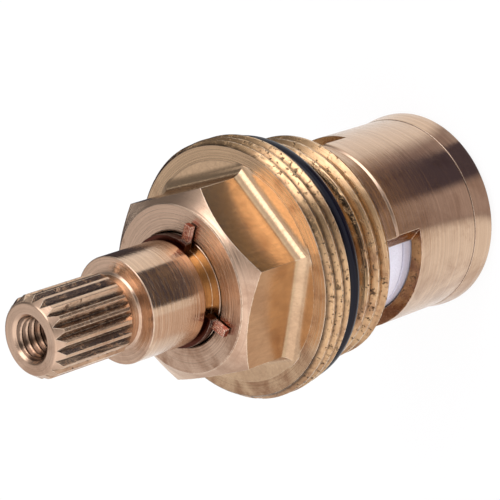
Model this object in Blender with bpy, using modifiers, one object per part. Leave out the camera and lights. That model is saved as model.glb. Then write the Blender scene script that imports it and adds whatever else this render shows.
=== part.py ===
"""Quarter-turn ceramic disc tap cartridge, spindle up, seat seal down.

Sizes are in metres. The spindle's axis is the Z axis, and the lip that seals
on the tap's seat lies on Z = 0. The two outlet windows face +X and -X.
The valve is modelled closed: turning the spindle 90 degrees anticlockwise,
seen from above, opens it.
"""
import math

import bmesh
import bpy
from mathutils import Matrix

MM = 0.001

# Clearances between pieces
SEAT_GAP = 0.15 * MM        # between faces that rest on each other
SIDE_GAP = 0.15 * MM        # round a piece that sits in a bore
RUNNING_GAP = 0.10 * MM     # round a piece that turns in a bore
PRESS_GAP = 0.12 * MM       # between the end ring and the spigot it is pressed on
CUT_OVERRUN = 1.0 * MM      # how far a cutter passes the surface it cuts

# Heights, stacked upwards from the lip of the seat seal
SEAL_PROUD = 0.6 * MM
END_RING_HEIGHT = 2.45 * MM
SILL_HEIGHT = 7.9 * MM
WINDOW_HEIGHT = 4.6 * MM
WINDOW_TO_THREAD = 0.85 * MM
RING_GROOVE_WIDTH = 1.8 * MM
FLANGE_THICKNESS = 3.3 * MM
HEX_HEIGHT = 6.8 * MM
SHANK_HEIGHT = 7.9 * MM
SPLINE_HEIGHT = 10.1 * MM

# Gland body, outside
BARREL_WALL = 1.3 * MM
RELIEF_DEPTH = 0.2 * MM
RELIEF_BELOW_WINDOW_HEAD = 1.45 * MM
RELIEF_TAPER = 1.0 * MM
BODY_THREAD_RADIUS = 11.0 * MM
BODY_THREAD_PITCH = 1.425 * MM
BODY_THREAD_TURNS = 4
BODY_THREAD_DEPTH = 0.8 * MM
FLANGE_RADIUS = 12.5 * MM
FLANGE_THREAD_TURNS = 2.5   # from the crest at the front edge to the root at the back
FLANGE_THREAD_DEPTH = 0.5 * MM
FLANGE_CHAMFER = 0.35 * MM
NECK_DEPTH = 2.0 * MM
THREAD_CREST_SHARE = 0.14   # of the pitch, left flat on a thread's crest
HEX_ACROSS_FLATS = 17.0 * MM
HEX_TURN = math.radians(-2.3)
HEX_CHAMFER_SLOPE = math.tan(math.radians(34.0))
HEX_FILLET = 1.3 * MM
HEX_FOOT_RADIUS = 10.5 * MM
HEX_FOOT_HEIGHT = 0.35 * MM
FACE_RADIUS = 8.0 * MM
FACE_STEP = 0.15 * MM
WINDOW_FROM_AXIS = 5.9 * MM
SPIGOT_WALL = 0.65 * MM
SPIGOT_RECESS = 0.5 * MM

# Gland body, inside
CAVITY_RADIUS = 8.3 * MM
SPINDLE_BORE_RADIUS = 5.45 * MM
SHOULDER_ABOVE_HEAD = 4.1 * MM
BORE_CHAMFER = 0.25 * MM
STOP_BORE_RADIUS = 7.0 * MM
STOP_RECESS_RADIUS = 8.0 * MM
STOP_RECESS_TOP = 0.3 * MM
STOP_HEIGHT = 2.7 * MM
STOP_ANGLE = math.radians(30.0)
TURN_RANGE = math.radians(90.0)
STOP_SLACK = math.radians(1.0)
KEY_WIDTH = 2.6 * MM
KEY_DEPTH = 1.15 * MM
KEY_SKIN = 0.3 * MM         # wall left outside a key's root

# Disc pack
LAP_ABOVE_SILL = 1.0 * MM
LAP_GAP = 0.08 * MM
FIXED_DISC_THICKNESS = 3.6 * MM
MOVING_DISC_THICKNESS = 4.65 * MM
DISC_CHAMFER = 0.25 * MM
PORT_INNER_RADIUS = 2.2 * MM
PORT_OUTER_RADIUS = 5.8 * MM
PORT_ANGLE = math.radians(84.0)
MOVING_PORT_HEIGHT = 2.7 * MM
TANG_WIDTH = 3.0 * MM
TANG_LENGTH = 11.8 * MM
TANG_DEPTH = 1.5 * MM

# Seat seal and the rings that hold it
SEAL_BORE_RADIUS = 5.75 * MM
SEAL_LIP_WIDTH = 0.9 * MM
SEAL_LIP_HEIGHT = 0.55 * MM
SEAL_LIP_FLARE = 0.3 * MM
SEAL_STEP = 0.8 * MM
SUPPORT_WALL = 0.5 * MM
SUPPORT_INSET = 1.1 * MM
END_RING_WALL = 0.78 * MM
END_RING_CHAMFER = 0.2 * MM

# Spindle
SHANK_RADIUS = 5.0 * MM
SHANK_CHAMFER = 0.12 * MM
TIP_RADIUS = 3.27 * MM
TIP_CHAMFER_HEIGHT = 0.85 * MM
SPLINE_RADIUS = 3.82 * MM
SPLINE_ROOT_RADIUS = 3.35 * MM
SPLINE_COUNT = 20
SPLINE_GROOVE_ANGLE = math.radians(13.5)
SPLINE_TURN = math.radians(-3.4)
RUNOUT_HEIGHT = 1.45 * MM
RUNOUT_RADIUS = 3.3 * MM
RUNOUT_FILLET = 0.55 * MM
SPLINE_FOOT = 0.25 * MM     # between the runout's fillet and the grooves' ends
SCREW_HOLE_RADIUS = 1.75 * MM
SCREW_HOLE_DEPTH = 11.0 * MM
SCREW_HOLE_POINT = 0.9 * MM
SCREW_MOUTH_RADIUS = 2.45 * MM
SCREW_MOUTH_DEPTH = 0.6 * MM
CLIP_GROOVE_RADIUS = 4.3 * MM
CLIP_GROOVE_WIDTH = 1.5 * MM
CLIP_GROOVE_EASE = 0.28 * MM
CLIP_GROOVE_DROP = 0.175 * MM
SEAL_LAND_FIRST = 4.2 * MM
SEAL_LAND_SPACING = 4.2 * MM
SPINDLE_RING_SECTION = 1.5 * MM
SPINDLE_RING_SQUEEZE = 0.08 * MM
COLLAR_RADIUS = 6.7 * MM
LUG_RADIUS = 7.8 * MM
COLLAR_HEIGHT = 1.35 * MM
WASHER_THICKNESS = 0.55 * MM
WASHER_RADIUS = 6.7 * MM

# Retaining clip and flange ring
CLIP_THICKNESS = 0.8 * MM
CLIP_RING_WALL = 0.9 * MM
CLIP_EAR_RADIUS = 7.0 * MM
CLIP_EAR_WIDTH = 1.2 * MM
CLIP_EAR_ANGLE = math.radians(94.0)   # between the middles of the two ears
CLIP_TURN = math.radians(63.0)
FLANGE_RING_SECTION = 1.5 * MM

# Facets of the round forms
BODY_STEPS = 56
SPINDLE_STEPS = 44
RING_STEPS = 36
RING_SIDES = 10
CLIP_STEPS = 26
STOP_STEPS = 20
LUG_STEPS = 16
PORT_STEPS = 10
SMOOTH_ANGLE = math.radians(30.0)

# Radii and heights that follow from the sizes above
barrel_radius = CAVITY_RADIUS + BARREL_WALL
spigot_radius = CAVITY_RADIUS + SPIGOT_WALL
neck_radius = FLANGE_RADIUS - NECK_DEPTH
seal_lower_radius = CAVITY_RADIUS - SEAL_STEP
end_z = SEAL_PROUD
seam_z = end_z + END_RING_HEIGHT
sill_z = seam_z + SILL_HEIGHT
head_z = sill_z + WINDOW_HEIGHT
thread_low_z = head_z + WINDOW_TO_THREAD
thread_high_z = thread_low_z + BODY_THREAD_PITCH * BODY_THREAD_TURNS
flange_back_z = thread_high_z + RING_GROOVE_WIDTH
flange_front_z = flange_back_z + FLANGE_THICKNESS
gland_face_z = flange_front_z + HEX_HEIGHT
shoulder_z = gland_face_z + SHANK_HEIGHT
tip_z = shoulder_z + SPLINE_HEIGHT
lap_z = sill_z + LAP_ABOVE_SILL
cavity_top_z = head_z + SHOULDER_ABOVE_HEAD
disc_radius = CAVITY_RADIUS - SIDE_GAP
fixed_disc_low_z = lap_z - LAP_GAP / 2 - FIXED_DISC_THICKNESS
moving_disc_low_z = lap_z + LAP_GAP / 2
moving_disc_high_z = moving_disc_low_z + MOVING_DISC_THICKNESS
washer_high_z = cavity_top_z - SEAT_GAP
collar_high_z = washer_high_z - WASHER_THICKNESS - SEAT_GAP
collar_low_z = collar_high_z - COLLAR_HEIGHT
tang_low_z = moving_disc_high_z - TANG_DEPTH
land_radius = SPINDLE_BORE_RADIUS - 2 * RUNNING_GAP
land_top_z = gland_face_z - SEAT_GAP


def clear_scene():
    for old in list(bpy.data.objects):
        bpy.data.objects.remove(old, do_unlink=True)
    for old in list(bpy.data.collections):
        bpy.data.collections.remove(old)


def new_collection(name):
    made = bpy.data.collections.new(name)
    bpy.context.scene.collection.children.link(made)
    return made


def finish(name, colour, roughness, metallic):
    """A plain Principled material in one colour (linear RGB)."""
    made = bpy.data.materials.new(name)
    made.use_nodes = True
    shader = made.node_tree.nodes["Principled BSDF"]
    shader.inputs["Base Color"].default_value = (*colour, 1.0)
    shader.inputs["Roughness"].default_value = roughness
    shader.inputs["Metallic"].default_value = metallic
    return made


def add_object(name, mesh, material, collection):
    made = bpy.data.objects.new(name, mesh)
    if material:
        mesh.materials.append(material)
    collection.objects.link(made)
    return made


def turned(name, profile, steps, material, collection):
    """A closed profile of (radius, height) points, turned round the Z axis.

    The profile runs down its outer side and back up its inner side.
    A profile that starts and ends on the axis is left open there.
    """
    mesh = bpy.data.meshes.new(name)
    points = [(radius, 0.0, height) for radius, height in profile]
    open_at_axis = profile[0][0] == 0.0 and profile[-1][0] == 0.0
    edges = [(i, i + 1) for i in range(len(points) - 1)]
    if not open_at_axis:
        edges.append((len(points) - 1, 0))
    mesh.from_pydata(points, edges, [])
    made = add_object(name, mesh, material, collection)
    screw = made.modifiers.new("turn", "SCREW")
    screw.steps = steps
    screw.render_steps = steps
    screw.use_merge_vertices = True
    screw.merge_threshold = 0.000001
    return made


def prism_mesh(name, outline, low, high):
    """A flat outline of (x, y) points, anticlockwise, from low to high."""
    mesh = bpy.data.meshes.new(name)
    bm = bmesh.new()
    add_prism(bm, outline, low, high)
    bm.to_mesh(mesh)
    bm.free()
    return mesh


def add_prism(bm, outline, low, high, matrix=None):
    verts = [bm.verts.new((x, y, low)) for x, y in outline]
    base = bm.faces.new(reversed(verts))
    grown = bmesh.ops.extrude_face_region(bm, geom=[base], use_keep_orig=True)
    raised = [item for item in grown["geom"] if isinstance(item, bmesh.types.BMVert)]
    bmesh.ops.translate(bm, vec=(0.0, 0.0, high - low), verts=raised)
    if matrix:
        bmesh.ops.transform(bm, matrix=matrix, verts=verts + raised)
    bmesh.ops.recalc_face_normals(bm, faces=list({f for v in verts + raised for f in v.link_faces}))


def arc(radius, start, end, steps):
    """Points on a circle from one angle to another, both ends included."""
    turn = (end - start) / steps
    return [(radius * math.cos(start + turn * i), radius * math.sin(start + turn * i))
            for i in range(steps + 1)]


def sector(inner, outer, middle, width, steps):
    """The outline of a ring sector round the Z axis."""
    low, high = middle - width / 2, middle + width / 2
    return arc(outer, low, high, steps) + arc(inner, high, low, steps)


def rectangle(length, width):
    x, y = length / 2, width / 2
    return [(-x, -y), (x, -y), (x, y), (-x, y)]


def spin(angle):
    return Matrix.Rotation(angle, 4, "Z")


def cutter(name, prisms, collection):
    """One cutter of separate prisms: (outline, low, high, matrix)."""
    mesh = bpy.data.meshes.new(name)
    bm = bmesh.new()
    for outline, low, high, matrix in prisms:
        add_prism(bm, outline, low, high, matrix)
    bm.to_mesh(mesh)
    bm.free()
    return hide(add_object(name, mesh, None, collection))


def hide(tool):
    tool.display_type = "WIRE"
    tool.hide_render = True
    return tool


def boolean(target, tool, operation="DIFFERENCE"):
    cut = target.modifiers.new(tool.name, "BOOLEAN")
    cut.operation = operation
    cut.solver = "EXACT"
    cut.object = tool


def settle(parts, tools):
    """Make each part's cuts final, shade it smooth and drop the cutters."""
    graph = bpy.context.evaluated_depsgraph_get()
    settled = {part: bpy.data.meshes.new_from_object(part.evaluated_get(graph))
               for part in parts.objects if part.type == "MESH"}
    for part, mesh in settled.items():
        part.modifiers.clear()
        mesh.name = part.name
        mesh.shade_smooth()
        mesh.set_sharp_from_angle(angle=SMOOTH_ANGLE)
        part.data = mesh
    for tool in list(tools.objects):
        bpy.data.objects.remove(tool, do_unlink=True)
    bpy.data.collections.remove(tools)


def thread_ridges(crest, depth, pitch, turns, high, on_crest=False):
    """Profile points of a thread drawn as turned ridges, downwards from high.

    It starts in a root, or half-way down a crest's flat if on_crest.
    """
    half_flat = pitch * THREAD_CREST_SHARE / 2
    points = []
    for i in range(round(2 * turns) + 1):
        z = high - i * pitch / 2
        if (i % 2 == 1) != on_crest:
            points += [(crest, z + half_flat), (crest, z - half_flat)]
        else:
            points.append((crest - depth, z))
    return points


def ring_groove(radius, middle, depth, width):
    """A groove in the outside of a shaft, from top to bottom."""
    high, low = middle + width / 2, middle - width / 2
    return [(radius, high), (radius - depth, high), (radius - depth, low), (radius, low)]


def quarter_fillet(radius, height, size, steps=4):
    """A concave fillet from a shaft's wall, down and out to a shoulder's face."""
    return [(radius + size * (1 - math.cos(a)), height + size * (1 - math.sin(a)))
            for a in [math.pi / 2 * i / steps for i in range(steps + 1)]]


def gland_body(material, parts, tools):
    """The turned brass body: hexagon, flange, threads, barrel and windows."""
    chamfer_reach = HEX_ACROSS_FLATS / math.sqrt(3) + CUT_OVERRUN
    cone_low_z = gland_face_z - FACE_STEP - (chamfer_reach - FACE_RADIUS) * HEX_CHAMFER_SLOPE
    flange_edge_z = flange_front_z - FLANGE_CHAMFER
    flange_pitch = (FLANGE_THICKNESS - FLANGE_CHAMFER) / (FLANGE_THREAD_TURNS + THREAD_CREST_SHARE / 2)
    first_crest_z = flange_edge_z - flange_pitch * THREAD_CREST_SHARE / 2
    profile = [
        (FACE_RADIUS, gland_face_z),
        (FACE_RADIUS, gland_face_z - FACE_STEP),
        (chamfer_reach, cone_low_z),
        (chamfer_reach, flange_front_z + HEX_FOOT_HEIGHT),
        (HEX_FOOT_RADIUS, flange_front_z + HEX_FOOT_HEIGHT),
        (HEX_FOOT_RADIUS, flange_front_z),
        (FLANGE_RADIUS - FLANGE_CHAMFER, flange_front_z),
    ]
    profile += thread_ridges(FLANGE_RADIUS, FLANGE_THREAD_DEPTH, flange_pitch,
                             FLANGE_THREAD_TURNS, first_crest_z, on_crest=True)
    profile += [
        (neck_radius, flange_back_z),
        (neck_radius, thread_high_z),
    ]
    profile += thread_ridges(BODY_THREAD_RADIUS, BODY_THREAD_DEPTH, BODY_THREAD_PITCH,
                             BODY_THREAD_TURNS, thread_high_z)
    relief_radius = barrel_radius - RELIEF_DEPTH
    relief_low_z = head_z - RELIEF_BELOW_WINDOW_HEAD
    profile += [
        (relief_radius, thread_low_z - RELIEF_TAPER),
        (relief_radius, relief_low_z),
        (barrel_radius, relief_low_z - RELIEF_DEPTH),
        (barrel_radius, seam_z),
        (spigot_radius, seam_z),
        (spigot_radius, end_z + SPIGOT_RECESS + SEAT_GAP),
        (CAVITY_RADIUS, end_z + SPIGOT_RECESS + SEAT_GAP),
        (CAVITY_RADIUS, cavity_top_z - STOP_HEIGHT),
        (STOP_BORE_RADIUS, cavity_top_z - STOP_HEIGHT),
        (STOP_BORE_RADIUS, cavity_top_z),
        (SPINDLE_BORE_RADIUS, cavity_top_z),
        (SPINDLE_BORE_RADIUS, gland_face_z - BORE_CHAMFER),
        (SPINDLE_BORE_RADIUS + BORE_CHAMFER, gland_face_z),
    ]
    body = turned("gland_body", profile, BODY_STEPS, material, parts)

    for name, start in (("hex_flats_even", 0), ("hex_flats_odd", 1)):
        boolean(body, hex_flats(name, start, chamfer_reach, tools))

    recess = CUT_OVERRUN + STOP_HEIGHT - STOP_RECESS_TOP
    low = cavity_top_z - STOP_HEIGHT - CUT_OVERRUN
    outline = sector(PORT_INNER_RADIUS, STOP_RECESS_RADIUS, 0.0, math.pi - STOP_ANGLE, STOP_STEPS)
    turns = [stop_middle() + math.pi / 2, stop_middle() - math.pi / 2]
    boolean(body, cutter("stop_recess", [(outline, low, low + recess, spin(t)) for t in turns], tools))

    key_reach = CAVITY_RADIUS - KEY_DEPTH
    key_root = barrel_radius - KEY_SKIN
    key_mid = (key_reach + key_root) / 2
    key_length = key_root - key_reach
    keys = [(rectangle(key_length, KEY_WIDTH), fixed_disc_low_z, sill_z,
             spin(side * math.pi / 2) @ Matrix.Translation((key_mid, 0, 0))) for side in (1, -1)]
    boolean(body, cutter("disc_keys", keys, tools), "UNION")

    width = 2 * barrel_radius + 2 * CUT_OVERRUN
    deep = BODY_THREAD_RADIUS + CUT_OVERRUN - WINDOW_FROM_AXIS
    mid = WINDOW_FROM_AXIS + deep / 2
    windows = [(rectangle(deep, width), sill_z, head_z,
                Matrix.Translation((side * mid, 0, 0))) for side in (1, -1)]
    boolean(body, cutter("window_cut", windows, tools))
    return body


def stop_middle():
    """Angle of one of the two stop ribs. The closed lugs point along X."""
    lug = math.pi - STOP_ANGLE - TURN_RANGE - 2 * STOP_SLACK
    return -(STOP_ANGLE / 2 + STOP_SLACK + lug / 2)


def hex_flats(name, start, reach, tools):
    """Three of the six cuts that leave the hexagon, with rounded inner corners."""
    apothem = HEX_ACROSS_FLATS / 2
    floor = flange_front_z + HEX_FOOT_HEIGHT
    top = gland_face_z + CUT_OVERRUN
    outer = reach + CUT_OVERRUN
    half = apothem / math.sqrt(3) + CUT_OVERRUN
    side = quarter_fillet(apothem, floor, HEX_FILLET)
    outline = [(apothem, top)] + side + [(outer, floor), (outer, top)]
    mesh = bpy.data.meshes.new(name)
    bm = bmesh.new()
    upright = Matrix.Rotation(math.pi / 2, 4, "X")
    for i in range(3):
        turn = HEX_TURN + math.pi / 6 + math.pi / 3 * (2 * i + start)
        add_prism(bm, outline, -half, half, spin(turn) @ upright)
    bm.to_mesh(mesh)
    bm.free()
    return hide(add_object(name, mesh, None, tools))


def end_ring(material, parts):
    """The brass ring pressed on the end, whose lip holds the seat seal in."""
    spigot = spigot_radius + PRESS_GAP
    outer = spigot + END_RING_WALL
    lip = seal_lower_radius + SIDE_GAP
    lip_top = end_z + SPIGOT_RECESS
    profile = [
        (outer, seam_z - SEAT_GAP),
        (outer, end_z + END_RING_CHAMFER),
        (outer - END_RING_CHAMFER, end_z),
        (lip, end_z),
        (lip, lip_top),
        (spigot, lip_top),
        (spigot, seam_z - SEAT_GAP),
    ]
    return turned("end_ring", profile, BODY_STEPS, material, parts)


def spindle(material, parts, tools):
    """Splined spindle with clip groove, seal grooves, collar, lugs and tang."""
    clip_top = gland_face_z + SEAT_GAP + CLIP_THICKNESS + SEAT_GAP
    groove_high = land_top_z + CLIP_GROOVE_WIDTH
    seal_depth = SPINDLE_RING_SECTION + 2 * SPINDLE_RING_SQUEEZE - (SPINDLE_BORE_RADIUS - land_radius)
    seal_width = SPINDLE_RING_SECTION + 2 * SIDE_GAP
    runout_z = shoulder_z + RUNOUT_HEIGHT
    profile = [
        (TIP_RADIUS, tip_z),
        (SPLINE_RADIUS, tip_z - TIP_CHAMFER_HEIGHT),
        (SPLINE_RADIUS, runout_z),
        (RUNOUT_RADIUS, runout_z - (SPLINE_RADIUS - RUNOUT_RADIUS)),
    ]
    profile += quarter_fillet(RUNOUT_RADIUS, shoulder_z, RUNOUT_FILLET)
    profile += [
        (SHANK_RADIUS - SHANK_CHAMFER, shoulder_z),
        (SHANK_RADIUS, shoulder_z - SHANK_CHAMFER),
        (SHANK_RADIUS, groove_high),
        (CLIP_GROOVE_RADIUS + CLIP_GROOVE_EASE, groove_high - CLIP_GROOVE_DROP),
        (CLIP_GROOVE_RADIUS, clip_top),
        (CLIP_GROOVE_RADIUS, land_top_z),
        (land_radius, land_top_z),
    ]
    for i in range(2):
        middle = gland_face_z - SEAL_LAND_FIRST - i * SEAL_LAND_SPACING
        profile += ring_groove(land_radius, middle, seal_depth, seal_width)
    profile += [
        (land_radius, collar_high_z),
        (LUG_RADIUS, collar_high_z),
        (LUG_RADIUS, collar_low_z),
        (TANG_LENGTH / 2, collar_low_z),
        (TANG_LENGTH / 2, tang_low_z),
        (0.0, tang_low_z),
        (0.0, tip_z - SCREW_HOLE_DEPTH - SCREW_HOLE_POINT),
        (SCREW_HOLE_RADIUS, tip_z - SCREW_HOLE_DEPTH),
        (SCREW_HOLE_RADIUS, tip_z - SCREW_MOUTH_DEPTH),
        (SCREW_MOUTH_RADIUS, tip_z),
    ]
    stem = turned("spindle", profile, SPINDLE_STEPS, material, parts)

    groove = spline_groove_outline()
    low = shoulder_z + RUNOUT_FILLET + SPLINE_FOOT
    grooves = [(groove, low, tip_z + CUT_OVERRUN, spin(SPLINE_TURN + math.tau * i / SPLINE_COUNT))
               for i in range(SPLINE_COUNT)]
    boolean(stem, cutter("spline_grooves", grooves, tools))

    lug = math.pi - STOP_ANGLE - TURN_RANGE - 2 * STOP_SLACK
    between = sector(COLLAR_RADIUS, LUG_RADIUS + CUT_OVERRUN, 0.0, math.pi - lug, LUG_STEPS)
    gaps = [(between, collar_low_z - CUT_OVERRUN, collar_high_z + CUT_OVERRUN, spin(side))
            for side in (math.pi / 2, -math.pi / 2)]
    boolean(stem, cutter("lug_gaps", gaps, tools))

    flank = TANG_LENGTH / 2
    mid = (TANG_WIDTH + flank + CUT_OVERRUN) / 2
    blade = [(rectangle(TANG_LENGTH + 2 * CUT_OVERRUN, flank + CUT_OVERRUN),
              tang_low_z - CUT_OVERRUN, collar_low_z, Matrix.Translation((0, side * mid, 0)))
             for side in (1, -1)]
    boolean(stem, cutter("tang_flanks", blade, tools))
    return stem


def spline_groove_outline():
    """A V groove between two teeth, pointing at the axis from +X."""
    half = SPLINE_GROOVE_ANGLE / 2
    crest_x = SPLINE_RADIUS * math.cos(half)
    crest_y = SPLINE_RADIUS * math.sin(half)
    rise = CUT_OVERRUN / 2
    flare = crest_y * (1 + rise / (crest_x - SPLINE_ROOT_RADIUS))
    return [(SPLINE_ROOT_RADIUS, 0.0), (crest_x + rise, -flare), (crest_x + rise, flare)]


def o_ring(name, inner, section, height, steps, material, parts):
    """A ring of round section."""
    middle = inner + section / 2
    profile = [(middle + section / 2 * math.cos(math.tau * i / RING_SIDES),
                height - section / 2 * math.sin(math.tau * i / RING_SIDES)) for i in range(RING_SIDES)]
    return turned(name, profile, steps, material, parts)


def retaining_clip(material, parts):
    """The open clip in the spindle's groove, whose two ears rest on the gland face."""
    inner = CLIP_GROOVE_RADIUS + SIDE_GAP
    outer = inner + CLIP_RING_WALL
    side = CLIP_EAR_WIDTH / 2
    middle = CLIP_EAR_ANGLE / 2
    root = middle + math.asin(side / outer)
    end = middle - math.asin(side / inner)
    ears = [[(x * math.cos(turn) - y * math.sin(turn), x * math.sin(turn) + y * math.cos(turn))
             for x, y in ((CLIP_EAR_RADIUS, -side), (CLIP_EAR_RADIUS, side))]
            for turn in (middle, -middle)]
    outline = ears[0] + arc(outer, root, math.tau - root, CLIP_STEPS)
    outline += ears[1] + arc(inner, math.tau - end, end, CLIP_STEPS)
    low = gland_face_z + SEAT_GAP
    mesh = prism_mesh("retaining_clip", outline, low, low + CLIP_THICKNESS)
    mesh.transform(spin(CLIP_TURN))
    clip = add_object("retaining_clip", mesh, material, parts)
    return clip


def thrust_washer(material, parts):
    inner = land_radius + SIDE_GAP
    low = washer_high_z - WASHER_THICKNESS
    profile = [(WASHER_RADIUS, washer_high_z), (WASHER_RADIUS, low), (inner, low), (inner, washer_high_z)]
    return turned("thrust_washer", profile, RING_STEPS, material, parts)


def disc_blank(name, low, high, material, parts):
    profile = [
        (0.0, high),
        (disc_radius - DISC_CHAMFER, high),
        (disc_radius, high - DISC_CHAMFER),
        (disc_radius, low + DISC_CHAMFER),
        (disc_radius - DISC_CHAMFER, low),
        (0.0, low),
    ]
    return turned(name, profile, SPINDLE_STEPS, material, parts)


def fixed_disc(material, parts, tools):
    """Lower ceramic disc: two ports under the windows, two key notches."""
    low = fixed_disc_low_z
    high = low + FIXED_DISC_THICKNESS
    disc = disc_blank("fixed_ceramic_disc", low, high, material, parts)
    port = sector(PORT_INNER_RADIUS, PORT_OUTER_RADIUS, 0.0, PORT_ANGLE, PORT_STEPS)
    ports = [(port, low - CUT_OVERRUN, high + CUT_OVERRUN, spin(side)) for side in (0.0, math.pi)]
    boolean(disc, cutter("fixed_disc_ports", ports, tools))
    notch_floor = CAVITY_RADIUS - KEY_DEPTH - SIDE_GAP
    notch_length = disc_radius + CUT_OVERRUN - notch_floor
    notch_mid = notch_floor + notch_length / 2
    notches = [(rectangle(notch_length, KEY_WIDTH + 2 * SIDE_GAP), low - CUT_OVERRUN,
                high + CUT_OVERRUN, spin(side) @ Matrix.Translation((notch_mid, 0, 0)))
               for side in (math.pi / 2, -math.pi / 2)]
    boolean(disc, cutter("fixed_disc_notches", notches, tools))
    return disc


def moving_disc(material, parts, tools):
    """Upper ceramic disc: two side ports in its lapped face, a slot for the tang."""
    low, high = moving_disc_low_z, moving_disc_high_z
    disc = disc_blank("moving_ceramic_disc", low, high, material, parts)
    port = sector(PORT_INNER_RADIUS, disc_radius + CUT_OVERRUN, 0.0, PORT_ANGLE, PORT_STEPS)
    ports = [(port, low - CUT_OVERRUN, low + MOVING_PORT_HEIGHT, spin(side))
             for side in (math.pi / 2, -math.pi / 2)]
    boolean(disc, cutter("moving_disc_ports", ports, tools))
    slot = [(rectangle(TANG_LENGTH + 2 * SIDE_GAP, TANG_WIDTH + 2 * RUNNING_GAP),
             tang_low_z - SEAT_GAP, high + CUT_OVERRUN, None)]
    boolean(disc, cutter("tang_slot", slot, tools))
    return disc


def seat_seal(material, parts):
    """Rubber sleeve with a raised lip at each end, gripped by the end ring."""
    top = fixed_disc_low_z - SEAT_GAP
    waist = end_z + SPIGOT_RECESS + 2 * SEAT_GAP
    outer = CAVITY_RADIUS - SIDE_GAP
    lip_in = SEAL_BORE_RADIUS + SUPPORT_WALL
    profile = [
        (lip_in + SEAL_LIP_WIDTH, top),
        (lip_in + SEAL_LIP_WIDTH + SEAL_LIP_FLARE, top - SEAL_LIP_HEIGHT),
        (outer, top - SEAL_LIP_HEIGHT),
        (outer, waist),
        (seal_lower_radius, waist),
        (seal_lower_radius, SEAL_LIP_HEIGHT),
        (lip_in + SEAL_LIP_WIDTH, 0.0),
        (lip_in, 0.0),
        (SEAL_BORE_RADIUS, SEAL_LIP_HEIGHT),
        (SEAL_BORE_RADIUS, top - SEAL_LIP_HEIGHT),
        (lip_in, top),
    ]
    return turned("seat_seal", profile, RING_STEPS, material, parts)


def seal_support_ring(material, parts):
    """Thin tube inside the rubber, so that water pressure can't fold it in."""
    outer = SEAL_BORE_RADIUS - RUNNING_GAP
    inner = outer - SUPPORT_WALL
    high = fixed_disc_low_z - SUPPORT_INSET
    profile = [(outer, high), (outer, SUPPORT_INSET), (inner, SUPPORT_INSET), (inner, high)]
    return turned("seal_support_ring", profile, RING_STEPS, material, parts)


def main():
    clear_scene()
    parts = new_collection("tap_cartridge")
    tools = new_collection("cutters")

    brass = finish("turned_brass", (0.56, 0.34, 0.18), 0.3, 1.0)
    copper = finish("copper_clip", (0.45, 0.15, 0.08), 0.35, 1.0)
    rubber = finish("nitrile_rubber", (0.02, 0.02, 0.03), 0.6, 0.0)
    ceramic = finish("alumina_ceramic", (0.83, 0.82, 0.86), 0.25, 0.0)
    plastic = finish("acetal_plastic", (0.75, 0.74, 0.70), 0.5, 0.0)

    gland_body(brass, parts, tools)
    end_ring(brass, parts)
    stem = spindle(brass, parts, tools)
    clip = retaining_clip(copper, parts)
    rings = []
    for i, name in enumerate(("spindle_o_ring_upper", "spindle_o_ring_lower")):
        outer = SPINDLE_BORE_RADIUS - SPINDLE_RING_SQUEEZE
        middle = gland_face_z - SEAL_LAND_FIRST - i * SEAL_LAND_SPACING
        rings.append(o_ring(name, outer - SPINDLE_RING_SECTION, SPINDLE_RING_SECTION,
                            middle, RING_STEPS, rubber, parts))
    o_ring("flange_o_ring", neck_radius + RUNNING_GAP, FLANGE_RING_SECTION,
           (flange_back_z + thread_high_z) / 2, BODY_STEPS, rubber, parts)
    thrust_washer(plastic, parts)
    upper = moving_disc(ceramic, parts, tools)
    fixed_disc(ceramic, parts, tools)
    seat_seal(rubber, parts)
    seal_support_ring(plastic, parts)

    axis = bpy.data.objects.new("spindle_axis", None)
    parts.objects.link(axis)
    for piece in [stem, clip, upper, *rings]:
        piece.parent = axis
    settle(parts, tools)


main()
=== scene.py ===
"""Ceramic disc tap cartridge: the finished surfaces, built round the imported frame.

Sizes are in metres. The spindle's axis is Z, and the seat seal's lip lies on the
floor at Z = 0. Every piece is made in place, with its object at the origin.
"""

import math

import bmesh
import bpy
import numpy as np
from mathutils import Matrix, Vector


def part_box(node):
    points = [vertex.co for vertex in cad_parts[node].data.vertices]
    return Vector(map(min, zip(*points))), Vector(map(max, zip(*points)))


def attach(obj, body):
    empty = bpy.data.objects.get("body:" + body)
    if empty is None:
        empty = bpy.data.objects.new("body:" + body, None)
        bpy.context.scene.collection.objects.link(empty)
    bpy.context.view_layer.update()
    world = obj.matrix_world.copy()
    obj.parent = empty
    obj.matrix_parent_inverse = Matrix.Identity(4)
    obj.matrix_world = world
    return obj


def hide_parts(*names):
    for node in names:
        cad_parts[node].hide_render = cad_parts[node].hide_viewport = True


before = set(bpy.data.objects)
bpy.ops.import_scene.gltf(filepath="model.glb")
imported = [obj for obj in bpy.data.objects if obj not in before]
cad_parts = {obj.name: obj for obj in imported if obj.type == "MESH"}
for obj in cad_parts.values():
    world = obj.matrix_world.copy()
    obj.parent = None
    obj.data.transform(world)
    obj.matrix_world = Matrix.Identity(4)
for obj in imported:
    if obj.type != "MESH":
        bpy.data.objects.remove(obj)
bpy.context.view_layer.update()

bl_info = {
    "name": "Tap cartridge",
    "version": (1, 0, 0),
    "blender": (4, 5, 0),
    "location": "View3D > Sidebar > Cartridge",
    "description": "Builds a quarter-turn ceramic disc tap cartridge in turned brass",
    "category": "Add Mesh",
}

MM = 0.001


def reach(node):
    """Half the width of a node that is round about the axis."""
    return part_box(node)[1].x


def top(node):
    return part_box(node)[1].z


def foot(node):
    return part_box(node)[0].z


def measured(label, metres, note):
    """A length in metres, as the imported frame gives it."""
    return bpy.props.FloatProperty(name=label, description=note, default=metres,
                                   unit="LENGTH", precision=5)


def length(label, millimetres, note):
    return measured(label, millimetres * MM, note)


def angle(label, degrees, note):
    return bpy.props.FloatProperty(name=label, description=note, default=math.radians(degrees),
                                   subtype="ANGLE")


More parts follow.
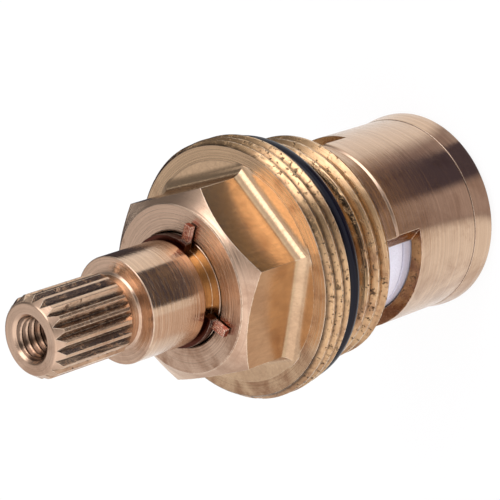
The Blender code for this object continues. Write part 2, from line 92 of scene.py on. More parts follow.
def colour(label, hexadecimal, note):
    return bpy.props.FloatVectorProperty(name=label, description=note, size=4, subtype="COLOR",
                                         min=0.0, max=1.0, default=linear(hexadecimal))


def linear(hexadecimal):
    """An sRGB colour written as hex, turned to linear light."""
    parts = [int(hexadecimal[i:i + 2], 16) / 255 for i in (0, 2, 4)]
    lit = [p / 12.92 if p <= 0.04045 else ((p + 0.055) / 1.055) ** 2.4 for p in parts]
    return (*lit, 1.0)


class BodySizes(bpy.types.PropertyGroup):
    face_z: measured("Gland face", top("gland_body"), "Height of the flat face round the spindle")
    flange_radius: measured("Flange radius", reach("gland_body"), "Crests of the flange's thread")
    spigot_z: measured("Spigot end", foot("gland_body"), "Lower end of the spigot in the end ring")
    seam_z: measured("Seam", top("end_ring"), "Height of the seam above the end ring")
    window_low_z: length("Window sill", 10.95, "Lower edge of the two outlet windows")
    window_high_z: length("Window head", 15.55, "Upper edge of the two outlet windows")
    window_depth: length("Window floor", 5.9, "Distance of the windows' flats from the axis")
    thread_low_z: length("Thread start", 16.4, "Lower end of the body thread")
    thread_high_z: length("Thread end", 22.1, "Upper end of the body thread")
    thread_root: length("Thread root", 10.2, "Root radius of the body thread")
    thread_depth: length("Thread depth", 0.8, "Depth of the body thread")
    thread_pitch: length("Thread pitch", 1.425, "Pitch of the body thread")
    flange_low_z: length("Flange back", 23.9, "Back face of the flange")
    flange_high_z: length("Flange front", 27.2, "Front face of the flange")
    flange_depth: length("Fine thread depth", 0.5, "Depth of the thread on the flange")
    flange_pitch: length("Fine thread pitch", 1.15, "Pitch of the thread on the flange")
    neck_radius: length("Neck radius", 10.5, "Floor of the groove that holds the flange ring")
    barrel_radius: length("Barrel radius", 9.6, "Outside of the barrel")
    relief_radius: length("Relief radius", 9.4, "Band between the thread and the barrel")
    spigot_radius: length("Spigot radius", 8.95, "Spigot under the end ring")
    cavity_radius: length("Cavity radius", 8.3, "Bore that holds the discs")
    stop_bore: length("Stop bore", 7.0, "Bore between the two stop ribs")
    stop_recess: length("Stop recess", 8.0, "Radius of the recesses that the lugs swing in")
    spindle_bore: length("Spindle bore", 5.45, "Bore that the spindle turns in")
    cavity_top_z: length("Shoulder", 19.65, "Shoulder that the thrust washer bears on")
    hex_flats: length("Across flats", 17.0, "Hexagon, across its flats")
    hex_turn: angle("Hexagon turn", -2.3, "How far the hexagon is turned from the windows")
    hex_fillet: length("Hexagon fillet", 1.3, "Fillet at the foot of each flat")
    hex_slope: angle("Corner chamfer", 34.0, "Slope of the chamfer on the hexagon's corners")
    foot_radius: length("Foot radius", 10.5, "Round foot under the hexagon")
    foot_height: length("Foot height", 0.03, "Height of that foot above the flange")
    face_radius: length("Face radius", 8.0, "Edge of the gland face")
    face_step: length("Face step", 0.15, "Step at the edge of the gland face")


class SpindleSizes(bpy.types.PropertyGroup):
    tip_z: measured("Tip", top("spindle"), "Height of the spindle's tip")
    shoulder_z: length("Shoulder", 41.9, "Shoulder below the splines")
    shank_radius: length("Shank radius", 5.0, "Plain shank")
    spline_radius: length("Spline radius", 3.82, "Outside of the teeth")
    root_radius: length("Root radius", 3.35, "Bottom of the grooves between the teeth")
    tip_radius: length("Tip radius", 3.27, "Flat of the tip, inside its chamfer")
    runout_radius: length("Run-out radius", 3.3, "Neck between the splines and the shoulder")
    splines: bpy.props.IntProperty(name="Splines", description="Number of teeth", default=20, min=3)
    groove_angle: angle("Groove angle", 13.5, "Angle that one groove takes of the turn")
    spline_turn: angle("Spline turn", -3.4, "Place of the first groove")
    hole_radius: length("Hole radius", 1.75, "Plain end of the screw hole")
    hole_root: length("Screw radius", 2.04, "Root radius of the screw thread")
    hole_mouth: length("Screw hole chamfer", 0.26, "Chamfer at the mouth of the screw hole")
    hole_depth: length("Screw thread depth", 0.32, "Depth of the screw thread")
    hole_pitch: length("Screw pitch", 0.7, "Pitch of the screw thread")
    groove_radius: length("Clip groove", 4.3, "Floor of the groove for the clip")
    land_radius: length("Seal land", 5.28, "Land that carries the two seals")
    collar_radius: length("Collar radius", 6.7, "Collar above the tang")
    lug_radius: measured("Lug radius", reach("spindle"), "Outside of the two stop lugs")
    collar_high_z: length("Collar top", 18.8, "Upper face of the collar")
    collar_low_z: length("Collar foot", 17.45, "Lower face of the collar")
    tang_low_z: measured("Tang foot", foot("spindle"), "Lower end of the driving tang")
    tang_length: length("Tang length", 11.8, "Driving tang, end to end")
    tang_width: length("Tang width", 3.0, "Driving tang, across its flats")


class ClipSizes(bpy.types.PropertyGroup):
    inner_radius: length("Inside", 4.45, "Inside of the open ring")
    outer_radius: length("Outside", 5.35, "Outside of the open ring")
    ear_radius: length("Ear radius", 7.0, "Ends of the two ears")
    ear_width: length("Ear width", 0.8, "Width of an ear")
    ear_height: length("Ear height", 0.6, "Height of an ear above the gland face")
    ear_ridge: length("Ear ridge", 0.08, "Half width of the grooves between an ear's ridges")
    ear_angle: angle("Ear angle", 94.0, "Angle between the middles of the ears")
    turn: angle("Clip turn", 63.0, "Direction of the clip's opening")


class FinishColours(bpy.types.PropertyGroup):
    brass: colour("Brass", "D2B398", "Bare brass, as it is turned")
    golden: colour("Golden brass", "CEAA80", "Brass in the clip's groove and on threads, under oil")
    milled: colour("Milled brass", "BC9060", "Brass in the windows, dull from the cutter and from oil")
    drawn: colour("Drawn brass", "D0B08C", "Bar that the hexagon's flats keep, and the flange's face")
    # Its pale tint on edges is partly wear and partly a painted highlight
    worn: colour("Worn edges", "F2DDC6", "Brass on edges that are rubbed bright")
    tarnish: colour("Tarnish", "8E6448", "Brass where cutting oil has dried on it")
    # This dark colour also paints the shade in thread roots, groove floors and the clip's ring
    pit: colour("Pits", "2E1A12", "Dirt in the pits, chips and thread roots")
    copper: colour("Copper", "8E4A38", "Drawn copper alloy of the clip, where it was sheared")
    rubber: colour("Rubber", "08081A", "Nitrile rubber")
    ceramic: colour("Ceramic", "F6F5FF", "Sintered alumina of the moving disc")
    grey_ceramic: colour("Grey ceramic", "DEDCE8", "Sintered alumina of the fixed disc")
    acetal: colour("Acetal", "E4E0D2", "Natural acetal")


def add(tree, kind, inputs=(), out=0, **settings):
    """Adds a node with its settings and links, and gives one output, or the node if out is None.

    Each input gets a value, or a link if it is given a socket. A list fills them in order.
    """
    made = tree.nodes.new(kind)
    for name, value in settings.items():
        setattr(made, name, value)
    for key, value in inputs.items() if isinstance(inputs, dict) else enumerate(inputs):
        if isinstance(value, bpy.types.NodeSocket):
            tree.links.new(value, made.inputs[key])
        else:
            made.inputs[key].default_value = value
    return made if out is None else made.outputs[out]


def work_out(tree, values, steps):
    """Adds a table of nodes: a name for the result, the kind, its operation, and its terms.

    A term is a number, or the name of a result or an input in values.
    """
    for name, kind, operation, *terms in steps:
        settings = {"operation": operation} if operation else {}
        values[name] = add(tree, kind, [values.get(term, term) for term in terms], **settings)


MATH = "ShaderNodeMath"
VECTORS = "ShaderNodeVectorMath"
COMBINE = "ShaderNodeCombineXYZ"
SEPARATE = "ShaderNodeSeparateXYZ"
NOISE = "ShaderNodeTexNoise"
# Inputs: the value, the range it comes from, the range it goes to
RANGE = "ShaderNodeMapRange"
# Inputs: 0 the share, then 2 and 3 two numbers, or 6 and 7 two colours
MIX = "ShaderNodeMix"

# How far a cutter passes the surface that it cuts
OVERRUN = 1.0 * MM


def put_in_scene(name, data):
    made = bpy.data.objects.new(name, data)
    bpy.context.scene.collection.objects.link(made)
    return made


def rounded(corners, steps=3):
    """Profile points from (radius, height, rounding) corners.

    A rounded corner also gets a holding point on each side, which keeps the
    shading of the walls next to it flat.
    """
    hold = 1.4
    points = []
    for i, (radius, height, size) in enumerate(corners):
        here = Vector((radius, height))
        if not size:
            points.append(here)
            continue
        back = (Vector(corners[i - 1][:2]) - here).normalized() * size
        ahead = (Vector(corners[i + 1][:2]) - here).normalized() * size
        points.append(here + back * hold)
        for k in range(steps + 1):
            t = k / steps
            points.append(here + back * (1 - t) ** 2 + ahead * t ** 2)
        points.append(here + ahead * hold)
    return points


def turned(name, profiles, columns, material):
    """Profiles of (radius, height) points, turned round the axis.

    Bands that share a rim are joined there, and a rim on the axis is closed.
    """
    turn = np.arange(columns) * (math.tau / columns)
    cos, sin = np.cos(turn), np.sin(turn)
    verts, faces = [], []
    for profile in profiles:
        for row, (radius, height) in enumerate(profile):
            start = len(verts)
            before = start - columns
            verts.extend(zip(radius * cos, radius * sin, [height] * columns))
            for k in range(columns if row else 0):
                ahead = (k + 1) % columns
                faces.append((start + k, start + ahead, before + ahead, before + k))
    mesh = bpy.data.meshes.new(name)
    mesh.from_pydata(verts, [], faces)
    mesh.materials.append(material)
    made = put_in_scene(name, mesh)
    close(made)
    return made


def close(piece, distance=0.0003 * MM):
    """Joins the rims that meet and turns the faces outwards."""
    work = bmesh.new()
    work.from_mesh(piece.data)
    bmesh.ops.remove_doubles(work, verts=work.verts, dist=distance)
    bmesh.ops.recalc_face_normals(work, faces=work.faces)
    work.to_mesh(piece.data)
    work.free()


def bake(piece):
    """Turns the piece and its modifiers into a plain mesh."""
    graph = bpy.context.evaluated_depsgraph_get()
    mesh = bpy.data.meshes.new_from_object(piece.evaluated_get(graph))
    mesh.name = piece.name
    piece.modifiers.clear()
    piece.data = mesh


def prisms_mesh(name, prisms):
    """A mesh of closed prisms of (flat outline, low, high, matrix), anticlockwise."""
    mesh = bpy.data.meshes.new(name)
    work = bmesh.new()
    for outline, low, high, matrix in prisms:
        base = [work.verts.new(matrix @ Vector((x, y, low))) for x, y in outline]
        lid = [work.verts.new(matrix @ Vector((x, y, high))) for x, y in outline]
        faces = [work.faces.new(base[::-1]), work.faces.new(lid)]
        for i, corner in enumerate(base):
            j = (i + 1) % len(base)
            faces.append(work.faces.new((corner, base[j], lid[j], lid[i])))
        bmesh.ops.recalc_face_normals(work, faces=faces)
    work.to_mesh(mesh)
    work.free()
    return mesh


def cut(piece, prisms, material=None, operation="DIFFERENCE"):
    """Cuts prisms from a piece, or adds them."""
    mesh = prisms_mesh("cutter", prisms)
    mesh.materials.append(material or piece.data.materials[0])
    tool = put_in_scene("cutter", mesh)
    blade = piece.modifiers.new("cut", "BOOLEAN")
    blade.operation = operation
    blade.solver = "EXACT"
    blade.material_mode = "TRANSFER"
    blade.object = tool
    bake(piece)
    bpy.data.objects.remove(tool)


def arc(radius, start, end, steps):
    turn = (end - start) / steps
    return [(radius * math.cos(start + turn * i), radius * math.sin(start + turn * i))
            for i in range(steps + 1)]


def sector(inner, outer, width, steps=24):
    """The outline of a ring sector about the X axis."""
    return arc(outer, -width / 2, width / 2, steps) + arc(inner, width / 2, -width / 2, steps)


def rectangle(length_x, length_y):
    x, y = length_x / 2, length_y / 2
    return [(-x, -y), (x, -y), (x, y), (-x, y)]


def spin(turn, out=0.0):
    """A turn about the axis, after a move out along X."""
    return Matrix.Rotation(turn, 4, "Z") @ Matrix.Translation((out, 0, 0))


def paint(piece, finish_name, low, high, inner, outer):
    """Gives the faces in a ring-shaped region their own finish."""
    material = finish(finish_name)
    slots = piece.data.materials
    if material.name not in slots:
        slots.append(material)
    index = slots.find(material.name)
    for face in piece.data.polygons:
        x, y, z = face.center
        if low < z < high and inner < math.hypot(x, y) < outer:
            face.material_index = index


def hand_over(piece, body, node, sharp=28.0):
    """Shades the finished piece and gives it to the frame.

    Flat faces stay flat, and edges over the sharp angle, in degrees, stay crisp.
    """
    piece.data.shade_smooth()
    piece.data.set_sharp_from_angle(angle=math.radians(sharp))
    even = piece.modifiers.new("normals", "WEIGHTED_NORMAL")
    even.mode = "FACE_AREA"
    even.weight = 50
    even.keep_sharp = True
    bake(piece)
    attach(piece, body)
    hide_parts(node)


def node_modifier(piece, tree, **values):
    """A Geometry Nodes modifier, with its inputs set by socket identifier."""
    made = piece.modifiers.new(tree.name, "NODES")
    made.node_group = tree
    keys = {item.name: item.identifier for item in tree.interface.items_tree
            if item.item_type == "SOCKET" and item.in_out == "INPUT"}
    for name, value in values.items():
        made[keys[name.replace("_", " ").capitalize()]] = value
    bake(piece)


def new_tree(name, floats, integers):
    """A Geometry Nodes tree with named inputs, and those inputs by name."""
    tree = bpy.data.node_groups.new(name, "GeometryNodeTree")
    sockets = [("Geometry", "Geometry"), ("Material", "Material")]
    sockets += [(label, "Float") for label in floats] + [(label, "Int") for label in integers]
    for label, kind in sockets:
        tree.interface.new_socket(label, in_out="INPUT", socket_type="NodeSocket" + kind)
    tree.interface.new_socket("Geometry", in_out="OUTPUT", socket_type="NodeSocketGeometry")
    return tree, dict(add(tree, "NodeGroupInput", out=None).outputs.items())


def end_tree(tree, values, geometry):
    """Ends a tree. Faces whose middles lie about a ring take the tree's material.

    The ring is given in values, as its radius and height, with a margin for each.
    """
    real = add(tree, "GeometryNodeRealizeInstances", [geometry])
    place = add(tree, "GeometryNodeInputPosition")
    values["x"], values["y"], values["z"] = add(tree, SEPARATE, [place], None).outputs
    values["distance"] = add(tree, VECTORS, [add(tree, COMBINE, [values["x"], values["y"]])], "Value",
                             operation="LENGTH")
    work_out(tree, values, (
        ("radial", MATH, "COMPARE", "distance", "ring radius", "ring depth"),
        ("axial", MATH, "COMPARE", "z", "ring height", "ring reach"),
        ("chosen", MATH, "MINIMUM", "radial", "axial")))
    done = add(tree, "GeometryNodeSetMaterial", [real, values["chosen"], values["Material"]])
    add(tree, "NodeGroupOutput", [done], None)
    return tree


def thread_tree():
    """A band of screw thread between two rims of the piece.

    A flat grid is rolled up with one pitch of rise to the turn, so its rows run
    along the helix and the crests stay crisp. Rows past the ends fall together on
    the rims. A negative depth cuts the thread inside a bore.
    """
    tree, v = new_tree("thread_band", ("Low", "High", "Root", "Depth", "Pitch", "Flat share", "Start",
                                       "Nick", "Seed"), ("Columns", "Rows"))
    work_out(tree, v, (
        ("span", MATH, "SUBTRACT", "High", "Low"),
        ("turns", MATH, "DIVIDE", "span", "Pitch"),
        ("whole", MATH, "CEIL", "turns"),
        ("count", MATH, "ADD", "whole", 2.0),
        ("rows", MATH, "MULTIPLY_ADD", "count", "Rows", 1.0),
        ("columns", MATH, "ADD", "Columns", 1.0)))
    grid = add(tree, "GeometryNodeMeshGrid", [1.0, 1.0, v["columns"], v["rows"]])
    place = add(tree, "GeometryNodeInputPosition")
    v["grid x"], v["grid y"], _ = add(tree, SEPARATE, [place], None).outputs
    work_out(tree, v, (
        ("across", MATH, "ADD", "grid x", 0.5),
        ("along", MATH, "ADD", "grid y", 0.5),
        # Height, in pitches above the low rim
        ("climbed", MATH, "MULTIPLY_ADD", "along", "count", "across"),
        ("lead", MATH, "ADD", "Start", 1.0),
        ("level", MATH, "SUBTRACT", "climbed", "lead"),
        ("held", "ShaderNodeClamp", None, "level", 0.0, "turns"),
        ("height", MATH, "MULTIPLY_ADD", "held", "Pitch", "Low"),
        # Section of the thread: a V with flats
        ("rise", MATH, "SUBTRACT", "held", "across"),
        ("phase", MATH, "ADD", "rise", "Start"),
        ("wave", MATH, "PINGPONG", "phase", 0.5),
        ("low flat", MATH, "MULTIPLY", "Flat share", 0.5),
        ("high flat", MATH, "SUBTRACT", 0.5, "low flat"),
        ("vee", RANGE, None, "wave", "low flat", "high flat"),
        # It fades out at 45 degrees at both rims
        ("depth", MATH, "ABSOLUTE", "Depth"),
        ("above", MATH, "SUBTRACT", "height", "Low"),
        ("below", MATH, "SUBTRACT", "High", "height"),
        ("nearest", MATH, "MINIMUM", "above", "below"),
        ("fade", MATH, "DIVIDE", "nearest", "depth"),
        ("ridge", MATH, "MINIMUM", "vee", "fade"),
        ("turn", MATH, "MULTIPLY", "across", math.tau),
        ("cos", MATH, "COSINE", "turn"),
        ("sin", MATH, "SINE", "turn"),
        ("unit", COMBINE, None, "cos", "sin", "held")))
    v["dents"] = add(tree, NOISE, {"Vector": v["unit"], "W": v["Seed"], "Scale": 11.0, "Detail": 3.0},
                     noise_dimensions="4D")
    work_out(tree, v, (
        # Nicks where crests were knocked
        ("dent", RANGE, None, "dents", 0.6, 0.75),
        ("bite", MATH, "MULTIPLY", "dent", "Nick"),
        ("left", MATH, "SUBTRACT", 1.0, "bite"),
        ("worn", MATH, "MULTIPLY", "ridge", "left"),
        ("radius", MATH, "MULTIPLY_ADD", "worn", "Depth", "Root"),
        ("out x", MATH, "MULTIPLY", "radius", "cos"),
        ("out y", MATH, "MULTIPLY", "radius", "sin"),
        ("rolled", COMBINE, None, "out x", "out y", "height"),
        ("ring radius", MATH, "MULTIPLY_ADD", "Depth", 0.5, "Root"),
        ("ring depth", MATH, "MULTIPLY", "depth", 0.7),
        ("ring height", MATH, "MULTIPLY_ADD", "span", 0.5, "Low"),
        ("ring reach", MATH, "MULTIPLY", "span", 0.5)))
    band = add(tree, "GeometryNodeSetPosition", {"Geometry": grid, "Position": v["rolled"]})
    both = add(tree, "GeometryNodeJoinGeometry", [v["Geometry"]], None)
    tree.links.new(band, both.inputs[0])
    joined = add(tree, "GeometryNodeMergeByDistance", {"Geometry": both.outputs[0],
                                                       "Distance": 0.002 * MM})
    return end_tree(tree, v, joined)


def spline_tree():
    """V grooves cut along a shaft, which leave teeth between them."""
    tree, v = new_tree("spline_grooves", ("Crest", "Root", "Half width", "Low", "High", "Turn"),
                       ("Count",))
    v["index"] = add(tree, "GeometryNodeInputIndex")
    # A three-sided prism's apex is at 1 and its base at -0.5 before it is scaled
    prism_height, prism_half_width = 0.75, 0.866 / 2
    work_out(tree, v, (
        ("tall", MATH, "SUBTRACT", "Crest", "Root"),
        ("deep", MATH, "MULTIPLY", "tall", 1 / prism_height),
        ("wide", MATH, "MULTIPLY", "Half width", 1 / prism_half_width),
        ("run", MATH, "SUBTRACT", "High", "Low"),
        ("away", MATH, "ADD", "Root", "deep"),
        ("ring radius", MATH, "MULTIPLY_ADD", "tall", 0.5, "Root"),
        ("ring depth", MATH, "MULTIPLY", "tall", 0.4),
        ("ring height", MATH, "MULTIPLY_ADD", "run", 0.5, "Low"),
        ("ring reach", MATH, "MULTIPLY", "run", 0.33),
        ("scale", COMBINE, None, "deep", "wide", "run"),
        ("shift", COMBINE, None, "away", 0.0, "ring height"),
        ("step", MATH, "DIVIDE", math.tau, "Count"),
        ("turn", MATH, "MULTIPLY_ADD", "index", "step", "Turn"),
        ("facing", COMBINE, None, 0.0, 0.0, "turn")))
    blade = add(tree, "GeometryNodeMeshCylinder", {"Vertices": 3, "Radius": 1.0, "Depth": 1.0})
    placed = add(tree, "GeometryNodeTransform", {"Geometry": blade, "Translation": v["shift"],
                                                 "Rotation": (0.0, 0.0, math.pi), "Scale": v["scale"]})
    points = add(tree, "GeometryNodePoints", [v["Count"]])
    blades = add(tree, "GeometryNodeInstanceOnPoints", {"Points": points, "Instance": placed,
                                                        "Rotation": v["facing"]})
    solid = add(tree, "GeometryNodeRealizeInstances", [blades])
    grooved = add(tree, "GeometryNodeMeshBoolean", [v["Geometry"], solid], operation="DIFFERENCE",
                  solver="EXACT")
    return end_tree(tree, v, grooved)


def cleared(owner):
    """The node tree of a material or world, emptied."""
    owner.use_nodes = True
    owner.node_tree.nodes.clear()
    return owner.node_tree


def new_material(name):
    """A material with its tree, its shader and Object coordinates in millimetres."""
    material = bpy.data.materials.new(name)
    tree = cleared(material)
    shader = add(tree, "ShaderNodeBsdfPrincipled", out=None)
    add(tree, "ShaderNodeOutputMaterial", {"Surface": shader.outputs[0]}, None)
    place = add(tree, "ShaderNodeTexCoord", out="Object")
    mm = add(tree, VECTORS, {0: place, "Scale": 1 / MM}, operation="SCALE")
    return material, tree, shader, mm


def distance_out(tree, mm):
    """Distance from the axis, the direction outwards, and the height."""
    x, y, z = add(tree, SEPARATE, [mm], None).outputs
    flat = add(tree, COMBINE, [x, y])
    radius = add(tree, VECTORS, [flat], "Value", operation="LENGTH")
    return radius, add(tree, VECTORS, [flat], operation="NORMALIZE"), z


def pitted(tree, mm, side, pits):
    """How dark each point is with pits and chips, which are largest on one side.

    The cells are a third of a millimetre wide, about twice the real pits, so that
    they show in the render.
    """
    wander = add(tree, NOISE, {"Vector": mm, "Scale": 4.0, "Detail": 2.0}, "Color")
    bent = add(tree, VECTORS, [wander, (0.5, 0.5, 0.5), mm], operation="MULTIPLY_ADD")
    cells = add(tree, "ShaderNodeTexVoronoi", {"Vector": bent, "Scale": 3.0}, None).outputs
    chance = add(tree, "ShaderNodeSeparateColor", [cells["Color"]])
    size = add(tree, RANGE, [chance, 1.0 - 0.45 * pits, 1.0, 0.0, 0.42])
    share = add(tree, RANGE, [side, -0.5, 0.5, 0.3, 1.0])
    size = add(tree, MATH, [size, share], operation="MULTIPLY")
    inside = add(tree, MATH, [size, cells["Distance"]], operation="SUBTRACT")
    hole = add(tree, RANGE, [inside, 0.0, 0.14, 0.0, 0.9])
    specks = add(tree, NOISE, {"Vector": mm, "Scale": 1.5, "Detail": 5.0, "Roughness": 0.75})
    chipped = add(tree, RANGE, [specks, 0.6 - 0.03 * pits, 0.66, 0.0, 0.7])
    return add(tree, MATH, [hole, chipped], operation="MAXIMUM")


# Direction of the side that gets the most stains and the largest pits, so it is darker
DARKER_SIDE = (0.89, -0.45, 0.0)


def brass(name, tint, lines="turned", feed=8.0, depth=0.022, roughness=0.18, stretch=0.6,
          stain=0.4, pits=0.0, dirt=None):
    """Free-cutting brass.

    Tool lines run round the axis on turned faces and along it on drawn ones, and
    spread reflections across themselves. A real feed leaves ten or more of them to
    the millimetre; feed draws them a little coarser, so that they show. Cutting oil
    has dried on the brass in soft brown patches, edges are worn bright and carry a
    painted highlight, and threads hold dark pits and chips. Between two distances from
    the axis, in millimetres, clean to dark, the surface darkens towards the thread roots
    and groove floors: grime, and painted shade there too.
    """
    material, tree, shader, mm = new_material(name)
    tints = bpy.context.scene.finish_colours
    radius, outwards, z = distance_out(tree, mm)
    if lines == "turned":
        # Lines follow both radius and height, so that they run round walls and faces alike
        along = add(tree, MATH, [radius, 1.37, z], operation="MULTIPLY_ADD")
        across = add(tree, MATH, [along, feed], operation="MULTIPLY")
        place = add(tree, VECTORS, [outwards, (0.5, 0.5, 0.0), add(tree, COMBINE, [0.0, 0.0, across])],
                    operation="MULTIPLY_ADD")
    else:
        place = add(tree, VECTORS, [mm, (feed, feed, 0.2 * feed)], operation="MULTIPLY")
    fine = add(tree, NOISE, {"Vector": place, "Scale": 1.0, "Detail": 4.0, "Roughness": 0.7})
    broad = add(tree, NOISE, {"Vector": place, "Scale": 0.4, "Detail": 2.0})
    streak = add(tree, MATH, [broad, 1.1, fine], operation="MULTIPLY_ADD")
    hollow, crest = 0.8, 1.3
    shade = add(tree, RANGE, [streak, hollow, crest, 0.91, 1.05])

    # Stains about 3 mm across, the most on the darker side
    side = add(tree, VECTORS, [outwards, DARKER_SIDE], "Value", operation="DOT_PRODUCT")
    clouds = add(tree, NOISE, {"Vector": mm, "Scale": 0.32, "Detail": 7.0, "Roughness": 0.62,
                               "Distortion": 0.4})
    clouds = add(tree, MATH, [side, 0.11, clouds], operation="MULTIPLY_ADD")
    stained = add(tree, RANGE, [clouds, 0.46, 0.74, 0.0, stain], interpolation_type="SMOOTHSTEP")
    metal = add(tree, MIX, {0: stained, 6: tint, 7: tints.tarnish}, 2, data_type="RGBA")
    metal = add(tree, VECTORS, {0: metal, "Scale": shade}, operation="SCALE")

    # Edges, where the rounded normal leaves the true one, rubbed in patches of 0.4 mm: real wear, and a
    # painted highlight on the edges too
    soft = add(tree, "ShaderNodeBevel", {"Radius": 0.1 * MM}, samples=6)
    true = add(tree, "ShaderNodeNewGeometry", out="Normal")
    same = add(tree, VECTORS, [soft, true], "Value", operation="DOT_PRODUCT")
    edge = add(tree, RANGE, [same, 0.995, 0.93])
    grain = add(tree, NOISE, {"Vector": mm, "Scale": 2.4, "Detail": 3.0})
    patchy = add(tree, RANGE, [grain, 0.35, 0.55, 0.1, 0.9])
    worn = add(tree, MATH, [patchy, edge], operation="MULTIPLY")
    metal = add(tree, MIX, {0: worn, 6: metal, 7: tints.worn}, 2, data_type="RGBA")

    height, dark = streak, 0.0
    if pits:
        dark = pitted(tree, mm, side, pits)
        height = add(tree, MATH, [dark, -2.5, streak], operation="MULTIPLY_ADD")
    # Darker towards the thread roots and groove floors: grime, and painted shade there too
    if dirt:
        clean, full = dirt
        ragged = add(tree, MATH, [grain, 0.2, radius], operation="MULTIPLY_ADD")
        grime_and_painted_shade = add(tree, RANGE, [ragged, clean + 0.1, full + 0.1, 0.0, 0.75],
                     interpolation_type="SMOOTHSTEP")
        dark = add(tree, MATH, [dark, grime_and_painted_shade], operation="MAXIMUM")
    if pits or dirt:
        metal = add(tree, MIX, {0: dark, 6: metal, 7: tints.pit}, 2, data_type="RGBA")
    rough = add(tree, RANGE, [streak, hollow, crest, roughness * 1.3, roughness * 0.85])
    bump = add(tree, "ShaderNodeBump", {"Height": height, "Strength": 1.0, "Distance": depth * MM,
                                        "Normal": soft})
    shader.inputs["Metallic"].default_value = 1.0
    tree.links.new(metal, shader.inputs["Base Color"])
    tree.links.new(rough, shader.inputs["Roughness"])
    tree.links.new(bump, shader.inputs["Normal"])
    if lines == "turned":
        shader.inputs["Anisotropic"].default_value = stretch
        shader.inputs["Anisotropic Rotation"].default_value = 0.25
        around = add(tree, "ShaderNodeTangent", direction_type="RADIAL", axis="Z")
        tree.links.new(around, shader.inputs["Tangent"])
    return material


def grained(name, tint, roughness, specular=0.5, scale=5.0, depth=0.01):
    """An even surface with a fine grain, scale bumps to the millimetre.

    The real grain is some hundredths of a millimetre, so it is drawn coarser to show.
    """
    material, tree, shader, mm = new_material(name)
    grain = add(tree, NOISE, {"Vector": mm, "Scale": scale, "Detail": 3.0})
    bump = add(tree, "ShaderNodeBump", {"Height": grain, "Strength": 1.0, "Distance": depth * MM})
    shade = add(tree, RANGE, [grain, 0.3, 0.7, 0.9, 1.06])
    mottled = add(tree, VECTORS, {0: tint[:3], "Scale": shade}, operation="SCALE")
    tree.links.new(mottled, shader.inputs["Base Color"])
    shader.inputs["Roughness"].default_value = roughness
    shader.inputs["Specular IOR Level"].default_value = specular
    tree.links.new(bump, shader.inputs["Normal"])
    return material


# Lines on threads, three to the millimetre, which is coarser than real, so that they show
THREADED = {"feed": 3.0, "roughness": 0.2, "stretch": 0.3}
# Lines from the die or the cutter, six to the millimetre, coarser than real too
DRAWN = {"lines": "drawn", "feed": 6.0}

# The maker, the tint and the settings of each finish, under what it gives the eye
FINISHES = {
    # Fine lines round the part, which draw each highlight out along the axis
    "turned_brass": (brass, "brass", {}),
    # Rougher rings and more dried oil on the face round the spindle
    "faced_brass": (brass, "brass", {"roughness": 0.22, "depth": 0.03, "stain": 0.7}),
    # The shank, smoother than the rest, which shows the floor's painted reflections as crisp dark and pale
    # bands
    "polished_brass": (brass, "brass", {"roughness": 0.11, "depth": 0.016, "stretch": 0.5, "stain": 0.2}),
    # Brown-stained rings on the flange's face
    "oiled_brass": (brass, "drawn", {"roughness": 0.24, "stain": 0.8}),
    # The clip groove, bright and golden with dark stains, which are partly painted shade in the groove under
    # the shank
    "grooved_brass": (brass, "golden", {"roughness": 0.14, "stain": 0.9}),
    # Golden thread on the flange, with pitted crests, and roots darkened by grime and painted shade
    "flange_thread_brass": (brass, "golden", {**THREADED, "stain": 0.7, "pits": 1.0, "dirt": (12.32, 12.0)}),
    # The body's thread, golden and a little cleaner, its roots darkened by grime and painted shade
    "body_thread_brass": (brass, "golden", {**THREADED, "stain": 0.7, "pits": 0.7, "dirt": (10.5, 10.15)}),
    # The screw hole's thread, dark at its roots with grime and painted shade
    "screw_thread_brass": (brass, "brass", {**THREADED, "stain": 0.9, "dirt": (1.78, 1.9)}),
    # Grooves between the teeth, scored lengthways, and dark at the bottom with grime and painted shade
    "splined_brass": (brass, "brass", {**DRAWN, "stain": 0.5, "pits": 0.4, "dirt": (3.6, 3.25)}),
    # Dull golden-brown walls of the windows, from the cutter and from oil
    "milled_brass": (brass, "milled", {**DRAWN, "stain": 1.2, "pits": 0.5}),
    # The hexagon's flats, smooth bar with a faint grain
    "drawn_hexagon_brass": (brass, "drawn", {**DRAWN, "feed": 7.0, "depth": 0.01, "roughness": 0.17,
                                             "stain": 0.25}),
    # Reddish wire, scored lengthways, with painted shade where the ring lies in the groove under the shank
    "drawn_copper": (brass, "copper", {**DRAWN, "feed": 5.0, "roughness": 0.2, "stain": 0.0,
                                       "dirt": (5.6, 5.3)}),
    # The dark line of a joint, quite dull
    "seam_dirt": (grained, "pit", {"roughness": 0.6, "scale": 3.0}),
    # Blue-black rubber with a soft narrow sheen
    "nitrile_rubber": (grained, "rubber", {"roughness": 0.22, "specular": 0.25}),
    # Cold white, close-grained and a little glossy
    "alumina_ceramic": (grained, "ceramic", {"roughness": 0.25, "scale": 8.0, "depth": 0.004}),
    # The same, a shade greyer
    "grey_alumina_ceramic": (grained, "grey_ceramic", {"roughness": 0.25, "scale": 8.0, "depth": 0.004}),
    # Milky off-white plastic with a dull sheen
    "acetal_plastic": (grained, "acetal", {"roughness": 0.45}),
}


def finish(name):
    """The named material, made on first use."""
    if name not in bpy.data.materials:
        maker, tint, settings = FINISHES[name]
        maker(name, getattr(bpy.context.scene.finish_colours, tint), **settings)
    return bpy.data.materials[name]


# Columns round each turned piece, and rows to one pitch of a thread
BODY_COLUMNS = 320
SPINDLE_COLUMNS = 200
RING_COLUMNS = 240
SEAL_COLUMNS = 200
PLASTIC_COLUMNS = 160
THREAD_ROWS = 14
SCREW_ROWS = 8
# Rounding of a turned edge, and the open seam over the end ring
EDGE = 0.06 * MM
SEAM_GAP = 0.05 * MM


